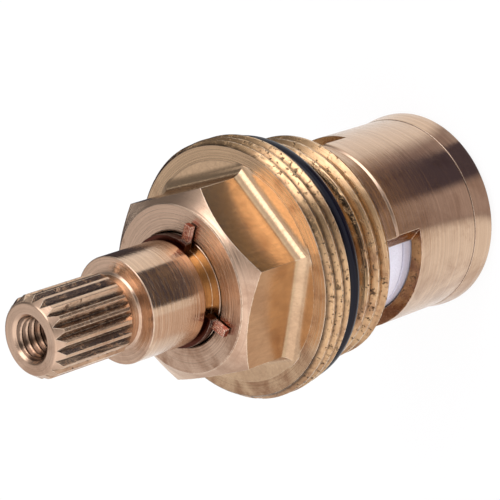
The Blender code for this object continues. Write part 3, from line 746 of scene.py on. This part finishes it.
class CARTRIDGE_OT_gland_body(bpy.types.Operator):
    """Turned and milled brass body: hexagon, flange, threads, barrel and windows"""
    bl_idname = "cartridge.gland_body"
    bl_label = "Gland body"

    def execute(self, context):
        s = context.scene.body_sizes
        corner = s.hex_flats / math.sqrt(3) + OVERRUN
        fall = (corner - s.face_radius) * math.tan(s.hex_slope)
        step_z = s.face_z - s.face_step
        foot_z = s.flange_high_z + s.foot_height
        flange_root = s.flange_radius - s.flange_depth
        # Chamfer of the spindle's bore, slope of the foot, and where the bore's two profiles meet
        chamfer, slope, meet_z = 0.12 * MM, 0.3 * MM, s.cavity_top_z + 1.0 * MM
        upper = rounded([
            (s.spindle_bore, meet_z, 0),
            (s.spindle_bore, s.face_z - chamfer, 0),
            (s.spindle_bore + chamfer, s.face_z, 0),
            (s.face_radius, s.face_z, EDGE),
            (s.face_radius, step_z, 0),
            (corner, step_z - fall, 0),
            (corner, foot_z, 0),
            (s.foot_radius, foot_z, EDGE * 2),
            (s.foot_radius + slope, s.flange_high_z, 0),
            (flange_root, s.flange_high_z, 0),
        ])
        middle = rounded([
            (flange_root, s.flange_low_z, 0),
            (s.neck_radius, s.flange_low_z, 0),
            (s.neck_radius, s.thread_high_z, 0),
            (s.thread_root, s.thread_high_z, 0),
        ])
        # Slope below the thread, and the barrel's upper edge with its chamfer
        runout, barrel_z, barrel_edge = 1.0 * MM, s.window_high_z - 1.45 * MM, 0.2 * MM
        barrel_end, ribs_low = s.seam_z + SEAM_GAP, s.cavity_top_z - 2.7 * MM
        lower = rounded([
            (s.thread_root, s.thread_low_z, 0),
            (s.relief_radius, s.thread_low_z - runout, 0),
            (s.relief_radius, barrel_z, 0),
            (s.barrel_radius, barrel_z - barrel_edge, EDGE),
            (s.barrel_radius, barrel_end, EDGE / 2),
            (s.spigot_radius, barrel_end, 0),
            (s.spigot_radius, s.spigot_z, EDGE),
            (s.cavity_radius, s.spigot_z, EDGE),
            (s.cavity_radius, ribs_low, 0),
            (s.stop_bore, ribs_low, 0),
            (s.stop_bore, s.cavity_top_z, 0),
            (s.spindle_bore, s.cavity_top_z, 0),
            (s.spindle_bore, meet_z, 0),
        ])
        body = turned("gland_body_brass", [upper, middle, lower], BODY_COLUMNS, finish("turned_brass"))
        tree = thread_tree()
        shared = {"flat_share": 2 / THREAD_ROWS, "columns": BODY_COLUMNS, "rows": THREAD_ROWS}
        node_modifier(body, tree, low=s.flange_low_z, high=s.flange_high_z, root=flange_root,
                      depth=s.flange_depth, pitch=s.flange_pitch, start=0.3, nick=0.35, seed=3.0,
                      material=finish("flange_thread_brass"), **shared)
        node_modifier(body, tree, low=s.thread_low_z, high=s.thread_high_z, root=s.thread_root,
                      depth=s.thread_depth, pitch=s.thread_pitch, start=0.0, nick=0.2, seed=8.0,
                      material=finish("body_thread_brass"), **shared)
        close(body)
        self.cut_hexagon(body, s, corner, foot_z)
        self.cut_inside(body, s)
        deep = s.flange_radius - s.window_depth
        out = s.window_depth + deep / 2
        cut(body, [(rectangle(deep, 3 * s.barrel_radius), s.window_low_z, s.window_high_z,
                    Matrix.Translation((side * out, 0, 0))) for side in (1, -1)], finish("milled_brass"))
        for name, low, high, inner, outer in (
                ("oiled_brass", s.flange_high_z - EDGE, foot_z, s.foot_radius, flange_root),
                ("faced_brass", step_z, s.face_z + EDGE, s.spindle_bore, s.face_radius),
                ("seam_dirt", s.seam_z, s.seam_z + 2 * SEAM_GAP, s.spigot_radius,
                 s.barrel_radius - EDGE / 3),
                ("body_thread_brass", s.thread_high_z - EDGE, s.flange_low_z + EDGE, s.thread_root,
                 s.flange_radius)):
            paint(body, name, low, high, inner, outer)
        hand_over(body, "body", "gland_body")
        return {"FINISHED"}

    def cut_hexagon(self, body, s, corner, foot_z):
        """Six flats with a fillet at the foot, in two sets whose cutters don't touch."""
        apothem = s.hex_flats / 2
        half = apothem / math.sqrt(3) + OVERRUN
        high = s.face_z + OVERRUN
        steps = 16
        bends = [math.pi / 2 * i / steps for i in range(steps + 1)]
        fillet = [(apothem + s.hex_fillet * (1 - math.cos(bend)),
                   foot_z + s.hex_fillet * (1 - math.sin(bend))) for bend in bends]
        outline = [(apothem, high)] + fillet + [(corner + OVERRUN, foot_z), (corner + OVERRUN, high)]
        upright = Matrix.Rotation(math.pi / 2, 4, "X")
        for first in (0, 1):
            turns = [s.hex_turn + math.pi / 6 + math.pi / 3 * (2 * i + first) for i in range(3)]
            cut(body, [(outline, -half, half, spin(turn) @ upright) for turn in turns],
                finish("drawn_hexagon_brass"))

    def cut_inside(self, body, s):
        """Recesses for the spindle's lugs, and the two keys that hold the fixed disc."""
        low, high = s.cavity_top_z - 3.7 * MM, s.cavity_top_z - 0.3 * MM
        inner, width, turn = 2.2 * MM, math.radians(150.0), -46.0
        recess = sector(inner, s.stop_recess, width)
        cut(body, [(recess, low, high, spin(math.radians(turn + side))) for side in (90.0, -90.0)])
        key, key_out = rectangle(2.15 * MM, 2.6 * MM), 8.225 * MM
        cut(body, [(key, foot("fixed_ceramic_disc"), s.window_low_z, spin(side * math.pi / 2, key_out))
                   for side in (1, -1)], operation="UNION")


class CARTRIDGE_OT_end_ring(bpy.types.Operator):
    """Brass ring pressed on the end of the barrel"""
    bl_idname = "cartridge.end_ring"
    bl_label = "End ring"

    def execute(self, context):
        s = context.scene.body_sizes
        outer, low, high = reach("end_ring"), foot("end_ring"), s.seam_z
        flush = s.barrel_radius + 0.03 * MM
        start = flush - 0.3 * MM
        full_z = low + 0.8 * MM
        lip, lip_z = 7.65 * MM, low + 0.5 * MM
        spigot = s.spigot_radius + 0.12 * MM
        ring = turned("end_ring_brass", [rounded([
            (start, high, 0),
            (flush, high, EDGE / 2),
            (outer, full_z, EDGE),
            (outer, low, EDGE * 3),
            (lip, low, EDGE * 2),
            (lip, lip_z, EDGE),
            (spigot, lip_z, 0),
            (spigot, high, EDGE),
            (start, high, 0),
        ])], BODY_COLUMNS, finish("turned_brass"))
        paint(ring, "seam_dirt", high - EDGE / 2, high + EDGE, spigot, s.barrel_radius)
        hand_over(ring, "body", "end_ring")
        return {"FINISHED"}


class CARTRIDGE_OT_spindle(bpy.types.Operator):
    """Brass spindle with splines, screw hole, shank, clip groove, seal lands and tang"""
    bl_idname = "cartridge.spindle"
    bl_label = "Spindle"

    def execute(self, context):
        s = context.scene.spindle_sizes
        face_z = context.scene.body_sizes.face_z
        # Chamfer of the tip, then the run-out's upper end, its slope and the fillet at its foot
        tip_chamfer, runout_z, slope, fillet = 0.85 * MM, s.shoulder_z + 1.45 * MM, 0.52 * MM, 0.5 * MM
        # The clip's groove: its foot, and its hollow upper wall from the floor to the shank
        land_z = face_z - 0.1 * MM
        floor_z, bend_z, wall_z, paint_z = (land_z + rise * MM for rise in (1.0, 1.3, 1.5, 1.4))
        bend, hollow = s.groove_radius + 0.28 * MM, 0.15 * MM
        corners = [
            (s.hole_root + s.hole_mouth, s.tip_z, EDGE),
            (s.tip_radius, s.tip_z, EDGE * 2),
            (s.spline_radius, s.tip_z - tip_chamfer, EDGE),
            (s.spline_radius, runout_z, EDGE),
            (s.runout_radius, runout_z - slope, EDGE * 2),
            (s.runout_radius, s.shoulder_z, fillet),
            (s.shank_radius, s.shoulder_z, EDGE * 2),
            (s.shank_radius, wall_z, EDGE * 3),
            (bend, bend_z, hollow),
            (s.groove_radius, floor_z, hollow),
            (s.groove_radius, land_z, 0),
            (s.land_radius, land_z, EDGE * 1.5),
        ]
        seal_spacing, seal_floor, seal_half = 4.2 * MM, 3.81 * MM, 0.9 * MM
        for i in (1, 2):
            middle = face_z - seal_spacing * i
            corners += [
                (s.land_radius, middle + seal_half, 0),
                (seal_floor, middle + seal_half, 0),
                (seal_floor, middle - seal_half, 0),
                (s.land_radius, middle - seal_half, 0),
            ]
        corners += [
            (s.land_radius, s.collar_high_z, 0),
            (s.lug_radius, s.collar_high_z, EDGE),
            (s.lug_radius, s.collar_low_z, EDGE),
            (s.tang_length / 2, s.collar_low_z, 0),
            (s.tang_length / 2, s.tang_low_z, EDGE),
            (0.0, s.tang_low_z, 0),
        ]
        mouth_z, hole_low = s.tip_z - s.hole_mouth, s.tip_z - 6.0 * MM
        drill_low, drill_point = hole_low - 5.0 * MM, hole_low - 6.0 * MM
        inside = [(0.0, drill_point), (s.hole_radius, drill_low), (s.hole_radius, hole_low),
                  (s.hole_root, hole_low)]
        outside = rounded([(s.hole_root, mouth_z, 0)] + corners)
        stem = turned("spindle_brass", [outside, inside], SPINDLE_COLUMNS, finish("turned_brass"))
        node_modifier(stem, thread_tree(), low=hole_low, high=mouth_z, root=s.hole_root,
                      depth=-s.hole_depth, pitch=s.hole_pitch, flat_share=0.0, start=0.4,
                      columns=SPINDLE_COLUMNS, rows=SCREW_ROWS, nick=0.0, seed=1.0,
                      material=finish("screw_thread_brass"))
        close(stem)
        half = s.groove_angle / 2
        node_modifier(stem, spline_tree(), count=s.splines, crest=s.spline_radius * math.cos(half),
                      root=s.root_radius, half_width=s.spline_radius * math.sin(half),
                      low=s.shoulder_z + 0.8 * MM, high=s.tip_z + OVERRUN, turn=s.spline_turn,
                      material=finish("splined_brass"))
        lug = math.radians(58.0)
        between = sector(s.collar_radius, s.lug_radius + OVERRUN, math.pi - lug)
        cut(stem, [(between, s.collar_low_z - OVERRUN, s.collar_high_z + OVERRUN, spin(side))
                   for side in (math.pi / 2, -math.pi / 2)])
        flank = s.tang_length / 2 + OVERRUN
        cut(stem, [(rectangle(2 * flank, flank), s.tang_low_z - OVERRUN, s.collar_low_z,
                    Matrix.Translation((0, side * (s.tang_width + flank) / 2, 0))) for side in (1, -1)])
        paint(stem, "polished_brass", paint_z, s.shoulder_z - EDGE, s.groove_radius, s.shank_radius + EDGE)
        paint(stem, "grooved_brass", land_z - EDGE, paint_z, s.groove_radius - EDGE, s.shank_radius)
        hand_over(stem, "spindle", "spindle")
        return {"FINISHED"}


class CARTRIDGE_OT_retaining_clip(bpy.types.Operator):
    """Open copper clip in the spindle's groove, with its sheared ends turned out"""
    bl_idname = "cartridge.retaining_clip"
    bl_label = "Retaining clip"

    def execute(self, context):
        s = context.scene.clip_sizes
        name, low, high = "retaining_clip_copper", foot("retaining_clip"), top("retaining_clip")
        root = s.ear_angle / 2 - math.asin(s.ear_width / 2 / s.inner_radius)
        ring = sector(s.inner_radius, s.outer_radius, math.tau - 2 * root, 120)
        clip = put_in_scene(name, prisms_mesh(name, [(ring, low, high, spin(s.turn + math.pi))]))
        clip.data.materials.append(finish("drawn_copper"))
        upright = Matrix.Rotation(math.pi / 2, 4, "Z") @ Matrix.Rotation(math.pi / 2, 4, "X")
        section = self.ear_section(s, low, low + s.ear_height)
        inside = s.inner_radius + 0.1 * MM
        for side in (1, -1):
            outline = [(side * x, z) for x, z in section][::side]
            cut(clip, [(outline, inside, s.ear_radius, spin(s.turn + side * s.ear_angle / 2) @ upright)],
                operation="UNION")
        hand_over(clip, "spindle", "retaining_clip")
        return {"FINISHED"}

    def ear_section(self, s, low, high):
        """An ear's section, with the ridges that shearing left on its top and inner side."""
        half, bite = s.ear_width / 2, s.ear_ridge
        deep = bite * 1.3
        points = [(-half, low), (half, low), (half, high)]
        # Three grooves across the top, then two down the side
        for i in range(3):
            place = half - s.ear_width * (i + 0.9) / 3.4
            points += [(place + bite, high), (place, high - deep), (place - bite, high)]
        points.append((-half, high))
        for i in range(2):
            place = high - (high - low) * (i + 1) / 3
            points += [(-half, place + bite), (-half + deep, place), (-half, place - bite)]
        return points


class CARTRIDGE_OT_o_rings(bpy.types.Operator):
    """The flange's ring and the spindle's two rings, in black nitrile rubber"""
    bl_idname = "cartridge.o_rings"
    bl_label = "O-rings"

    def execute(self, context):
        half = 0.75 * MM
        for node, body in (("flange_o_ring", "body"), ("spindle_o_ring_upper", "spindle"),
                           ("spindle_o_ring_lower", "spindle")):
            centre, middle = reach(node) - half, (top(node) + foot(node)) / 2
            profile = [(centre + x, middle + y) for x, y in arc(half, 0.0, -math.tau, 32)]
            ring = turned(node + "_rubber", [profile], RING_COLUMNS, finish("nitrile_rubber"))
            hand_over(ring, body, node)
        return {"FINISHED"}


class CARTRIDGE_OT_ceramic_discs(bpy.types.Operator):
    """The fixed and the moving ceramic disc, lapped together"""
    bl_idname = "cartridge.ceramic_discs"
    bl_label = "Ceramic discs"

    def blank(self, node, finish_name):
        outer, low, high, edge = reach(node), foot(node), top(node), 0.2 * MM
        disc = turned(node + "_alumina", [rounded([
            (0.0, high, 0), (outer, high, edge), (outer, low, edge), (0.0, low, 0)])],
            RING_COLUMNS, finish(finish_name))
        return disc, low, high

    def execute(self, context):
        quarter = math.pi / 2
        port_angle, port_inner, port_outer, bay_outer = math.radians(84.0), 2.2 * MM, 5.8 * MM, 9.15 * MM
        notch, notch_out = rectangle(2.3 * MM, 2.9 * MM), 8.15 * MM
        fixed, low, high = self.blank("fixed_ceramic_disc", "grey_alumina_ceramic")
        port = sector(port_inner, port_outer, port_angle)
        cut(fixed, [(port, low - OVERRUN, high + OVERRUN, spin(turn)) for turn in (0.0, math.pi)])
        cut(fixed, [(notch, low - OVERRUN, high + OVERRUN, spin(turn, notch_out))
                    for turn in (quarter, -quarter)])
        hand_over(fixed, "body", "fixed_ceramic_disc")

        moving, low, high = self.blank("moving_ceramic_disc", "alumina_ceramic")
        bay, bay_depth = sector(port_inner, bay_outer, port_angle), 2.7 * MM
        slot, slot_foot = rectangle(12.1 * MM, 3.2 * MM), foot("spindle") - 0.15 * MM
        cut(moving, [(bay, low - OVERRUN, low + bay_depth, spin(turn)) for turn in (quarter, -quarter)])
        cut(moving, [(slot, slot_foot, high + OVERRUN, Matrix.Identity(4))])
        hand_over(moving, "spindle", "moving_ceramic_disc")
        return {"FINISHED"}


def plastic_ring(name, node, inner, start):
    """A square ring of acetal, whose profile starts on its top face, in from the rim."""
    outer, low, high = reach(node), foot(node), top(node)
    ring = turned(name, [rounded([
        (outer - start, high, 0), (outer, high, EDGE), (outer, low, EDGE), (inner, low, EDGE),
        (inner, high, EDGE), (outer - start, high, 0)])], PLASTIC_COLUMNS, finish("acetal_plastic"))
    hand_over(ring, "body", node)


class CARTRIDGE_OT_seat_seal(bpy.types.Operator):
    """Rubber seat seal and the thin tube inside it"""
    bl_idname = "cartridge.seat_seal"
    bl_label = "Seat seal"

    def execute(self, context):
        low, high, outer = foot("seat_seal"), top("seat_seal"), reach("seat_seal")
        inner, waist, waist_z, lip, soft = 5.75 * MM, 7.5 * MM, 1.4 * MM, 0.55 * MM, 0.15 * MM
        lip_in, lip_out, groove, bend = inner + 0.5 * MM, inner + 1.4 * MM, inner + 1.7 * MM, 0.1 * MM
        seal = turned("seat_seal_rubber", [rounded([
            (lip_in, high, EDGE),
            (lip_out, high, EDGE * 2),
            (groove, high - lip, bend),
            (outer, high - lip, EDGE),
            (outer, waist_z, EDGE),
            (waist, waist_z, EDGE),
            (waist, low + lip, EDGE * 2),
            (lip_out, low, soft),
            (lip_in, low, soft),
            (inner, low + lip, EDGE * 2),
            (inner, high - lip, bend),
            (lip_in, high, 0),
        ])], SEAL_COLUMNS, finish("nitrile_rubber"))
        hand_over(seal, "body", "seat_seal")
        wall = 0.5 * MM
        plastic_ring("seal_support_acetal", "seal_support_ring", reach("seal_support_ring") - wall, 0.2 * MM)
        return {"FINISHED"}


class CARTRIDGE_OT_thrust_washer(bpy.types.Operator):
    """Acetal washer between the spindle's collar and the body's shoulder"""
    bl_idname = "cartridge.thrust_washer"
    bl_label = "Thrust washer"

    def execute(self, context):
        plastic_ring("thrust_washer_acetal", "thrust_washer", context.scene.body_sizes.spindle_bore,
                     0.3 * MM)
        return {"FINISHED"}


class StageSettings(bpy.types.PropertyGroup):
    camera_azimuth: angle("Camera azimuth", 62.703, "Camera's direction round the axis from +X")
    camera_elevation: angle("Camera elevation", 43.128, "Camera's height above the floor")
    camera_roll: angle("Camera roll", -108.344, "How far the camera is rolled")
    camera_distance: length("Camera distance", 235.025, "From the aimed point to the camera")
    camera_focal: bpy.props.FloatProperty(
        name="Focal length", description="In millimetres, on a 36 mm sensor", default=180.0)
    aim: bpy.props.FloatVectorProperty(
        name="Aimed point", description="What the camera looks at", size=3, subtype="TRANSLATION",
        default=(-0.0011894, 0.0006138, 0.0239304))
    background: colour("Background", "FFFFFF", "Floor and surround")
    walls: colour("Walls", "F7F4F9", "Walls of the studio, as the metal mirrors them")
    wall_level: bpy.props.FloatProperty(name="Wall level", description="Light from the walls", default=0.9)
    # Bearing that the painted floor reflections are counted from
    painted_reflection_turn: angle("Card turn", 63.15, "Bearing that the cards' angles are counted from")


# Bearing, height, half width and softness in degrees, and brightness
STUDIO_PANELS = (
    # Softbox
    (130.0, 42.0, 18.0, 10.0, 3.4),
    # Grey flags, over the camera and low on the far side
    (63.0, 50.0, 20.0, 14.0, 0.22),
    (200.0, 12.0, 34.0, 16.0, 0.23),
    # Bright panel
    (-4.0, 42.0, 35.0, 20.0, 1.4),
)

# Painted reflections, which only glossy rays see. Near and far end in mm from the axis, the wedge's start at
# both and its end at both in degrees from the camera's side, softness, and tint
PAINTED_FLOOR_REFLECTIONS = (
    # Painted golden reflection of the light that the brass throws on the floor near it
    (24.0, 41.0, -38.0, -38.0, 62.0, 62.0, 3.0, "BE9C68"),
    # Painted pale reflection
    (28.0, 60.0, -95.0, -95.0, -38.0, -38.0, 4.0, "E0CBBF"),
    # Painted dark reflections, which give the dark bands on the shank and the barrel
    (41.0, 95.0, -24.0, -15.0, 60.0, 57.0, 2.5, "464856"),
    (39.0, 50.0, -24.0, -20.0, 36.0, 36.0, 1.5, "464856"),
    (7.0, 25.0, -18.0, -18.0, 42.0, 72.0, 9.0, "96888A"),
    (9.0, 25.0, -18.0, -18.0, 30.0, 56.0, 2.0, "504A58"),
    # Painted bright patch, mirrored on the barrel
    (6.0, 22.0, -20.0, -18.0, 6.0, 9.0, 4.0, "B8ACAC"),
    # Painted dark reflection, mirrored on the far side's thread crests
    (20.0, 400.0, 112.0, 112.0, 180.0, 180.0, 6.0, "4A4448"),
)


def aimed(bearing, height):
    """The direction at a bearing round the axis and a height above the floor."""
    flat = math.cos(height)
    return Vector((flat * math.cos(bearing), flat * math.sin(bearing), math.sin(height)))


class CARTRIDGE_OT_stage(bpy.types.Operator):
    """Pale floor, soft studio light and the camera"""
    bl_idname = "cartridge.stage"
    bl_label = "Stage"

    def execute(self, context):
        s = context.scene.stage_settings
        context.scene.camera = self.camera(s)
        context.scene.world = self.surround(s)
        self.floor(s)
        context.scene.view_settings.view_transform = "Standard"
        return {"FINISHED"}

    def camera(self, s):
        lens = bpy.data.cameras.new("camera")
        lens.lens = s.camera_focal
        lens.sensor_width = 36.0
        lens.clip_start = 10 * MM
        lens.clip_end = 10.0
        made = put_in_scene("camera", lens)
        back = aimed(s.camera_azimuth, s.camera_elevation)
        upright = back.to_track_quat("Z", "Y").to_matrix().to_4x4()
        made.matrix_world = (Matrix.Translation(Vector(s.aim) + back * s.camera_distance) @ upright
                             @ Matrix.Rotation(s.camera_roll, 4, "Z"))
        return made

    def floor(self, s):
        """White floor. Painted reflections lie on it as coloured wedges, which only glossy rays see."""
        mesh = bpy.data.meshes.new("floor")
        mesh.from_pydata([(x, y, 0.0) for x, y in rectangle(6.0, 6.0)], [], [(0, 1, 2, 3)])
        floor = put_in_scene("floor", mesh)
        material = bpy.data.materials.new("floor_white")
        tree = cleared(material)
        # The floor's own light makes up this share of what the camera sees, and the rest is matt
        # and holds the shadow
        own_light, strength = 0.88, 1.03
        path = add(tree, "ShaderNodeLightPath", out=None).outputs
        mirrored = add(tree, MATH, [path["Is Glossy Ray"], path["Is Transmission Ray"]],
                       operation="MAXIMUM")
        seen = add(tree, MATH, [path["Is Camera Ray"], mirrored], operation="MAXIMUM")
        share = add(tree, MATH, [seen, own_light], operation="MULTIPLY")
        share = add(tree, MATH, [share, mirrored], operation="MAXIMUM")
        # Glossy rays see the painted reflections, and the camera sees the plain white floor
        look = add(tree, MIX, {0: mirrored, 6: s.background, 7: self.painted_reflections(tree, s)}, 2,
                   data_type="RGBA")
        white = add(tree, "ShaderNodeEmission", {"Color": look, "Strength": strength})
        matt = add(tree, "ShaderNodeBsdfDiffuse", {"Color": s.background})
        both = add(tree, "ShaderNodeMixShader", [share, matt, white])
        add(tree, "ShaderNodeOutputMaterial", {"Surface": both}, None)
        mesh.materials.append(material)

    def painted_reflections(self, tree, s):
        """Painted reflections on the floor, as the metal mirrors it: wedges that widen away from the object.
        """
        place = add(tree, "ShaderNodeNewGeometry", out="Position")
        mm = add(tree, VECTORS, {0: place, "Scale": 1 / MM}, operation="SCALE")
        mm = add(tree, "ShaderNodeVectorRotate", {"Vector": mm, "Angle": -s.painted_reflection_turn},
                 rotation_type="Z_AXIS")
        x, y, _ = add(tree, SEPARATE, [mm], None).outputs
        v = {"away": add(tree, VECTORS, [add(tree, COMBINE, [x, y])], "Value", operation="LENGTH")}
        v["angle"] = add(tree, MATH, [y, x], operation="ARCTAN2")
        v["turn"] = add(tree, MATH, [v["angle"], 180 / math.pi], operation="MULTIPLY")
        look = s.background
        for near, far, start_near, start_far, end_near, end_far, softness, tint in PAINTED_FLOOR_REFLECTIONS:
            work_out(tree, v, (
                ("start", RANGE, None, "away", near, far, start_near, start_far),
                ("end", RANGE, None, "away", near, far, end_near, end_far),
                ("past", MATH, "SUBTRACT", "turn", "start"),
                ("before", MATH, "SUBTRACT", "end", "turn"),
                ("sideways", MATH, "MINIMUM", "past", "before"),
                ("outwards", MATH, "SUBTRACT", "away", near),
                ("inwards", MATH, "SUBTRACT", far, "away"),
                ("lengthways", MATH, "MINIMUM", "outwards", "inwards"),
                ("inside", MATH, "MINIMUM", "sideways", "lengthways")))
            here = add(tree, RANGE, [v["inside"], -softness, softness], interpolation_type="SMOOTHSTEP")
            look = add(tree, MIX, {0: here, 6: look, 7: linear(tint)}, 2, data_type="RGBA")
        return look

    def surround(self, s):
        """The studio: pale walls, a softbox, a bright panel and two grey flags."""
        world = bpy.data.worlds.new("studio")
        tree = cleared(world)
        direction = add(tree, "ShaderNodeTexCoord", out="Generated")
        level = s.wall_level
        for bearing, height, half_width, softness, brightness in STUDIO_PANELS:
            towards = aimed(math.radians(bearing), math.radians(height))
            facing = add(tree, VECTORS, [direction, towards], "Value", operation="DOT_PRODUCT")
            outer = math.cos(math.radians(half_width + softness))
            inner = math.cos(math.radians(half_width - softness))
            here = add(tree, RANGE, [facing, outer, inner], interpolation_type="SMOOTHSTEP")
            level = add(tree, MIX, {0: here, 2: level, 3: brightness})
        camera = add(tree, "ShaderNodeLightPath", out="Is Camera Ray")
        level = add(tree, MIX, {0: camera, 2: level, 3: 1.0})
        tone = add(tree, MIX, {0: camera, 6: s.walls, 7: s.background}, 2, data_type="RGBA")
        back = add(tree, "ShaderNodeBackground", {"Color": tone, "Strength": level})
        add(tree, "ShaderNodeOutputWorld", {"Surface": back}, None)
        return world


class CARTRIDGE_PT_panel(bpy.types.Panel):
    """Lists the pieces in the sidebar"""
    bl_idname = "CARTRIDGE_PT_panel"
    bl_label = "Tap cartridge"
    bl_space_type = "VIEW_3D"
    bl_region_type = "UI"
    bl_category = "Cartridge"

    def draw(self, context):
        for operator in OPERATORS:
            self.layout.operator(operator.bl_idname)


GROUPS = {"body_sizes": BodySizes, "spindle_sizes": SpindleSizes, "clip_sizes": ClipSizes,
          "finish_colours": FinishColours, "stage_settings": StageSettings}
OPERATORS = [CARTRIDGE_OT_gland_body, CARTRIDGE_OT_end_ring, CARTRIDGE_OT_spindle,
             CARTRIDGE_OT_retaining_clip, CARTRIDGE_OT_o_rings, CARTRIDGE_OT_ceramic_discs,
             CARTRIDGE_OT_seat_seal, CARTRIDGE_OT_thrust_washer, CARTRIDGE_OT_stage]


def register():
    for name, group in GROUPS.items():
        bpy.utils.register_class(group)
        setattr(bpy.types.Scene, name, bpy.props.PointerProperty(type=group))
    for shown in [*OPERATORS, CARTRIDGE_PT_panel]:
        bpy.utils.register_class(shown)


def unregister():
    for shown in [CARTRIDGE_PT_panel, *reversed(OPERATORS)]:
        bpy.utils.unregister_class(shown)
    for name, group in GROUPS.items():
        delattr(bpy.types.Scene, name)
        bpy.utils.unregister_class(group)


def main():
    register()
    bpy.ops.cartridge.gland_body()
    bpy.ops.cartridge.end_ring()
    bpy.ops.cartridge.spindle()
    bpy.ops.cartridge.retaining_clip()
    bpy.ops.cartridge.o_rings()
    bpy.ops.cartridge.ceramic_discs()
    bpy.ops.cartridge.seat_seal()
    bpy.ops.cartridge.thrust_washer()
    bpy.ops.cartridge.stage()


if __name__ == "__main__":
    main()
